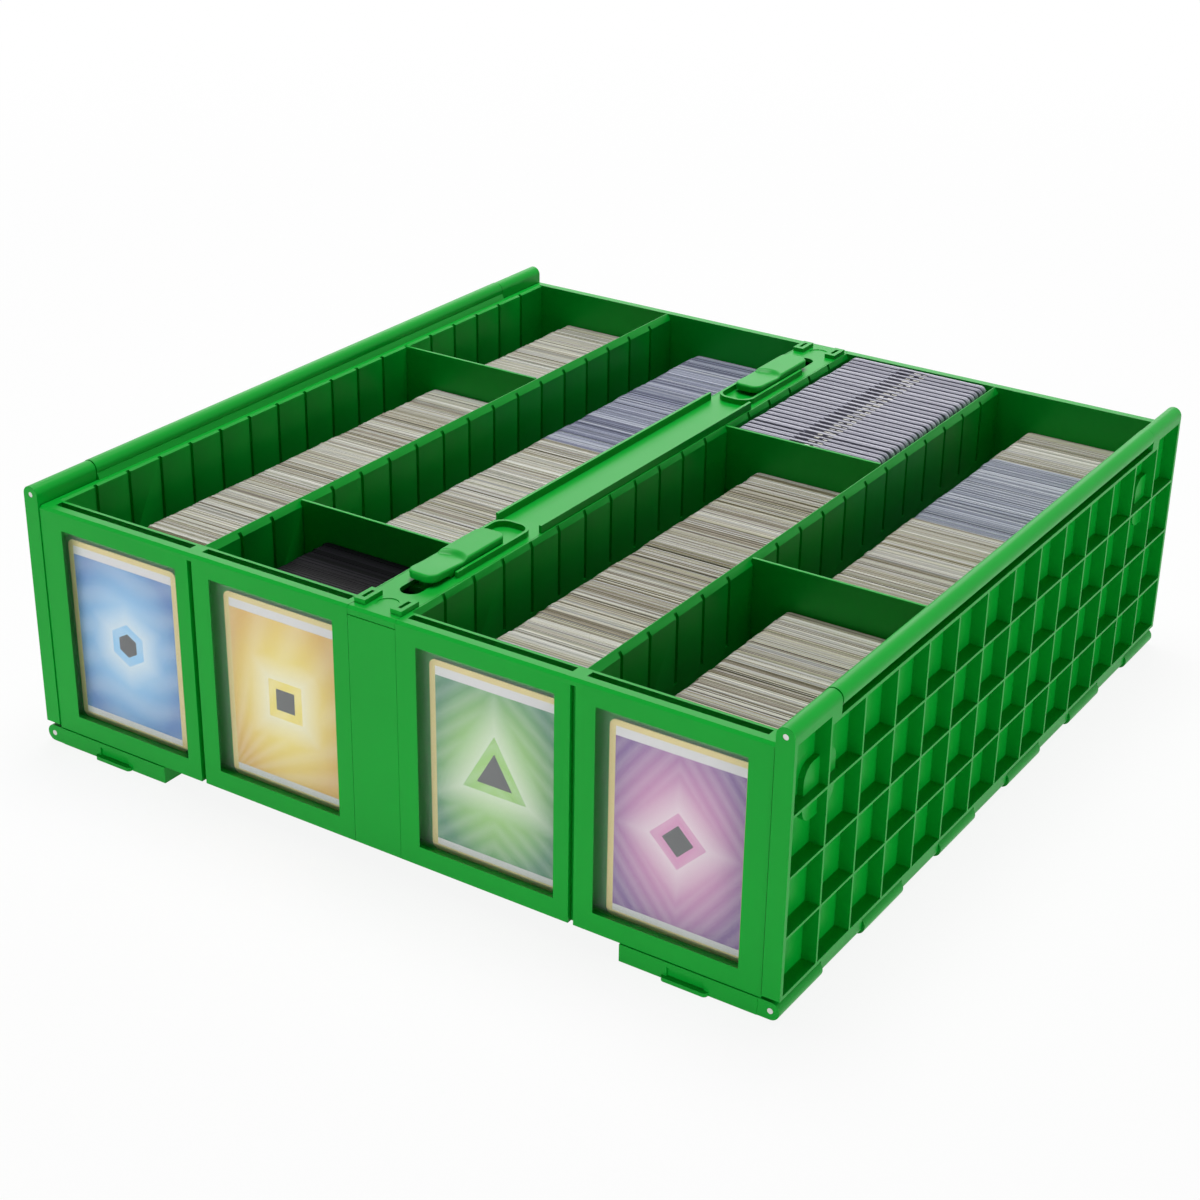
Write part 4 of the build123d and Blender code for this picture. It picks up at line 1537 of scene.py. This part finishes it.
@dataclass(frozen=True)
class SoftLamp:
    """A rectangular soft lamp.

    Attributes:
        name: lamp name.
        place, aim: where it hangs and the point it faces.
        size: width and height.
        power: watts.
    """

    name: str
    place: Place
    aim: Place
    size: Span
    power: float

    def hang(self) -> None:
        """Add the lamp to the scene, facing its point."""
        light = bpy.data.lights.new(self.name, "AREA")
        light.shape = "RECTANGLE"
        light.size, light.size_y = self.size
        light.energy = self.power
        holder = add_object(self.name, light)
        holder.location = self.place
        holder.rotation_euler = (Vector(self.aim) - Vector(self.place)).to_track_quat("-Z", "Y").to_euler()


@dataclass(frozen=True)
class Studio:
    """Camera, soft lamps, white surroundings and a pale floor.

    Attributes:
        eye: viewing point, fitted to the photograph.
        azimuth, elevation, roll: viewing direction, in degrees.
        lens, sensor, clip: focal length and sensor width in millimetres, and nearest distance seen.
        fill: strength of the light from the surroundings.
        floor_reach, floor_drop: half the floor's width, and its depth below the table plane.
        lamps: the soft lamps.
    """

    eye: Place = (0.51404, -0.82083, 0.51978)
    azimuth: float = 32.838
    elevation: float = 26.010
    roll: float = 0.957
    lens: float = 68.18
    sensor: float = 36.0
    clip: float = 0.01
    fill: float = 0.09
    floor_reach: float = 6.0
    floor_drop: float = 0.0004
    lamps: Sequence[SoftLamp] = (
        SoftLamp("top_soft", (-0.15, 0.22, 1.7), (0.0, 0.0, 0.0), (0.9, 0.9), 27.0),
        SoftLamp("back_soft", (-1.0, 1.55, 0.95), (0.0, 0.0, 0.1), (1.6, 0.9), 7.0),
        SoftLamp("front_low", (-0.35, -1.7, 0.075), (0.0, -0.19, 0.055), (1.6, 0.12), 12.0),
        SoftLamp("right_low", (1.7, -0.35, 0.1), (0.19, 0.0, 0.06), (1.6, 0.18), 12.0),
    )

    def camera(self) -> None:
        """Put the camera at the viewing point.

        Its back axis is the direction given by azimuth and elevation, and its right axis is the level one
        turned by the roll.
        """
        a, e, r = (math.radians(v) for v in (self.azimuth, self.elevation, self.roll))
        level = Vector((math.cos(a), math.sin(a), 0.0))
        back = Vector((math.sin(a) * math.cos(e), -math.cos(a) * math.cos(e), math.sin(e)))
        right = math.cos(r) * level + math.sin(r) * back.cross(level)
        up = back.cross(right)
        lens = bpy.data.cameras.new("camera")
        lens.lens = self.lens
        lens.sensor_width = self.sensor
        lens.clip_start = self.clip
        holder = add_object("camera", lens)
        turn = Matrix((right, up, back)).transposed().to_4x4()
        holder.matrix_world = Matrix.Translation(Vector(self.eye)) @ turn
        bpy.context.scene.camera = holder

    def world(self) -> None:
        """White surroundings that light the bin at the strength of the fill."""
        world = bpy.data.worlds.new("studio")
        world.use_nodes = True
        tree = world.node_tree
        sky = tree.nodes["Background"]
        sky.inputs["Color"].default_value = WHITE
        tree.links.new(spread(tree, seen_white(tree), self.fill, 1.0), sky.inputs["Strength"])
        bpy.context.scene.world = world

    def floor(self) -> None:
        """Lay the pale floor, a square just below the table plane."""
        square = np.array([[-1.0, -1.0], [1.0, -1.0], [1.0, 1.0], [-1.0, 1.0]])
        points = np.column_stack([square * self.floor_reach, np.full(len(square), -self.floor_drop)])
        mesh = new_mesh("floor", points, [[0, 1, 2, 3]])
        floor = add_object("floor", mesh)
        mesh.materials.append(PaleFloor().make())

    def build(self) -> None:
        """Set the stage."""
        self.camera()
        self.world()
        self.floor()
        for lamp in self.lamps:
            lamp.hang()
        bpy.context.scene.view_settings.view_transform = "Standard"


def tub_nodes() -> List[str]:
    """CAD nodes of the tub moulding.

    Returns:
        Their names: the floor and back, the walls of either side, and the window frames.
    """
    walls = [f"{side}_{wall}" for side in ("left", "right")
             for wall in ("side_wall", "row_wall", "spine_wall", "label_wall")]
    return ["tub_floor", "back_panel"] + walls + [f"row_{row}_window_frame" for row in ROWS]


@dataclass
class CardBin:
    """The whole bin: mouldings, windows, displayed cards, stored cards, holders and pins.

    Attributes:
        nodes: CAD nodes by name.
        record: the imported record.
        finishes: the bin's materials.
        cover_edge, panel_edge, latch_edge: rounding of the spine cover, of lids and dividers, and of latches.
        rear_shift: how far the rear latch's knob is moved along the spine.
    """

    nodes: Dict[str, bpy.types.Object]
    record: Dict[str, object]
    finishes: Finishes
    cover_edge: float = 0.0005
    panel_edge: float = 0.0003
    latch_edge: float = 0.0002
    rear_shift: float = -0.0033

    def mouldings(self) -> List[Moulding]:
        """Green pieces, each with its body and CAD nodes.

        Returns:
            The mouldings, not yet built.
        """
        made = [TubMoulding("tub_moulding", "bin", tub_nodes()),
                Moulding("spine_cover_moulding", "bin", ["spine_cover"], self.cover_edge)]
        for name, shift in (("front_latch", 0.0), ("rear_latch", self.rear_shift)):
            made.append(LatchMoulding(name + "_moulding", name, [name], self.latch_edge, shift=shift))
        for side in ("right", "left"):
            leaf, flap = f"{side}_leaf", f"{side}_flap"
            made.append(Moulding(leaf + "_moulding", leaf, [f"{side}_lid_leaf"], self.panel_edge))
            made.append(FlapMoulding(flap + "_moulding", flap, [f"{side}_lid_flap"], self.panel_edge))
        for row in ROWS:
            name = f"row_{row}_divider"
            made.append(DividerMoulding(name + "_moulding", name, [name], self.panel_edge))
        return made

    def stacks(self) -> List[CardStack]:
        """Stored cards, each stack with its body, slot and seed.

        Returns:
            The stacks, not yet built.
        """
        return [
            CardStack("row_1_front_cards", "row_1_front_cards", Slot.EDGES, 11, tone=(0.56, 0.2)),
            CardStack("row_1_rear_cards", "row_1_rear_cards", Slot.EDGES, 12, tone=(0.58, 0.18)),
            CardStack("row_2_middle_cards", "row_2_cards", Slot.EDGES, 13, tone=(0.58, 0.18)),
            CardStack("row_2_rear_cards", "row_2_cards", Slot.VIOLET, 14, gaps=0.05),
            CardStack("row_3_front_cards", "row_3_front_cards", Slot.EDGES, 15, tone=(0.48, 0.24), gaps=0.04),
            CardStack("row_4_front_cards", "row_4_front_cards", Slot.EDGES, 16, tone=(0.52, 0.22)),
            CardStack("row_4_middle_cards", "row_4_cards", Slot.EDGES, 17, tone=(0.58, 0.18)),
            CardStack("row_4_blue_cards", "row_4_cards", Slot.BLUE, 18, tone=(0.5, 0.22), gaps=0.05),
            CardStack("row_4_rear_cards", "row_4_cards", Slot.EDGES, 19, tone=(0.58, 0.18)),
            CardStack("row_2_sleeved_cards", "row_2_sleeved_cards", Slot.SLEEVE, 20, pitch=0.00062,
                      corner=0.001, tone=(0.4, 0.2)),
        ]

    def dress_kept(self) -> None:
        """Give every CAD node the material of its slot."""
        slots = {part["node"]: part["material_slot"] for part in self.record["subparts"]}
        for name, node in self.nodes.items():
            node.data.materials.clear()
            node.data.materials.append(self.finishes.by_slot[Slot(slots[name])])

    def build(self) -> None:
        """Make all pieces."""
        self.dress_kept()
        for moulding in self.mouldings():
            moulding.build(self.nodes, self.finishes.by_slot[Slot.GREEN])
        for stack in self.stacks():
            stack.build(self.finishes)
        HolderRow().build(self.finishes)
        for row in ROWS:
            DisplayCard(row).build(self.finishes)


def main() -> None:
    """Load the frame, build the bin and its studio."""
    logging.basicConfig(level=logging.INFO, format="%(name)s: %(message)s")
    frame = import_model()
    CardBin(frame["nodes"], frame["record"], Finishes.make()).build()
    Studio().build()


if __name__ == "__main__":
    main()
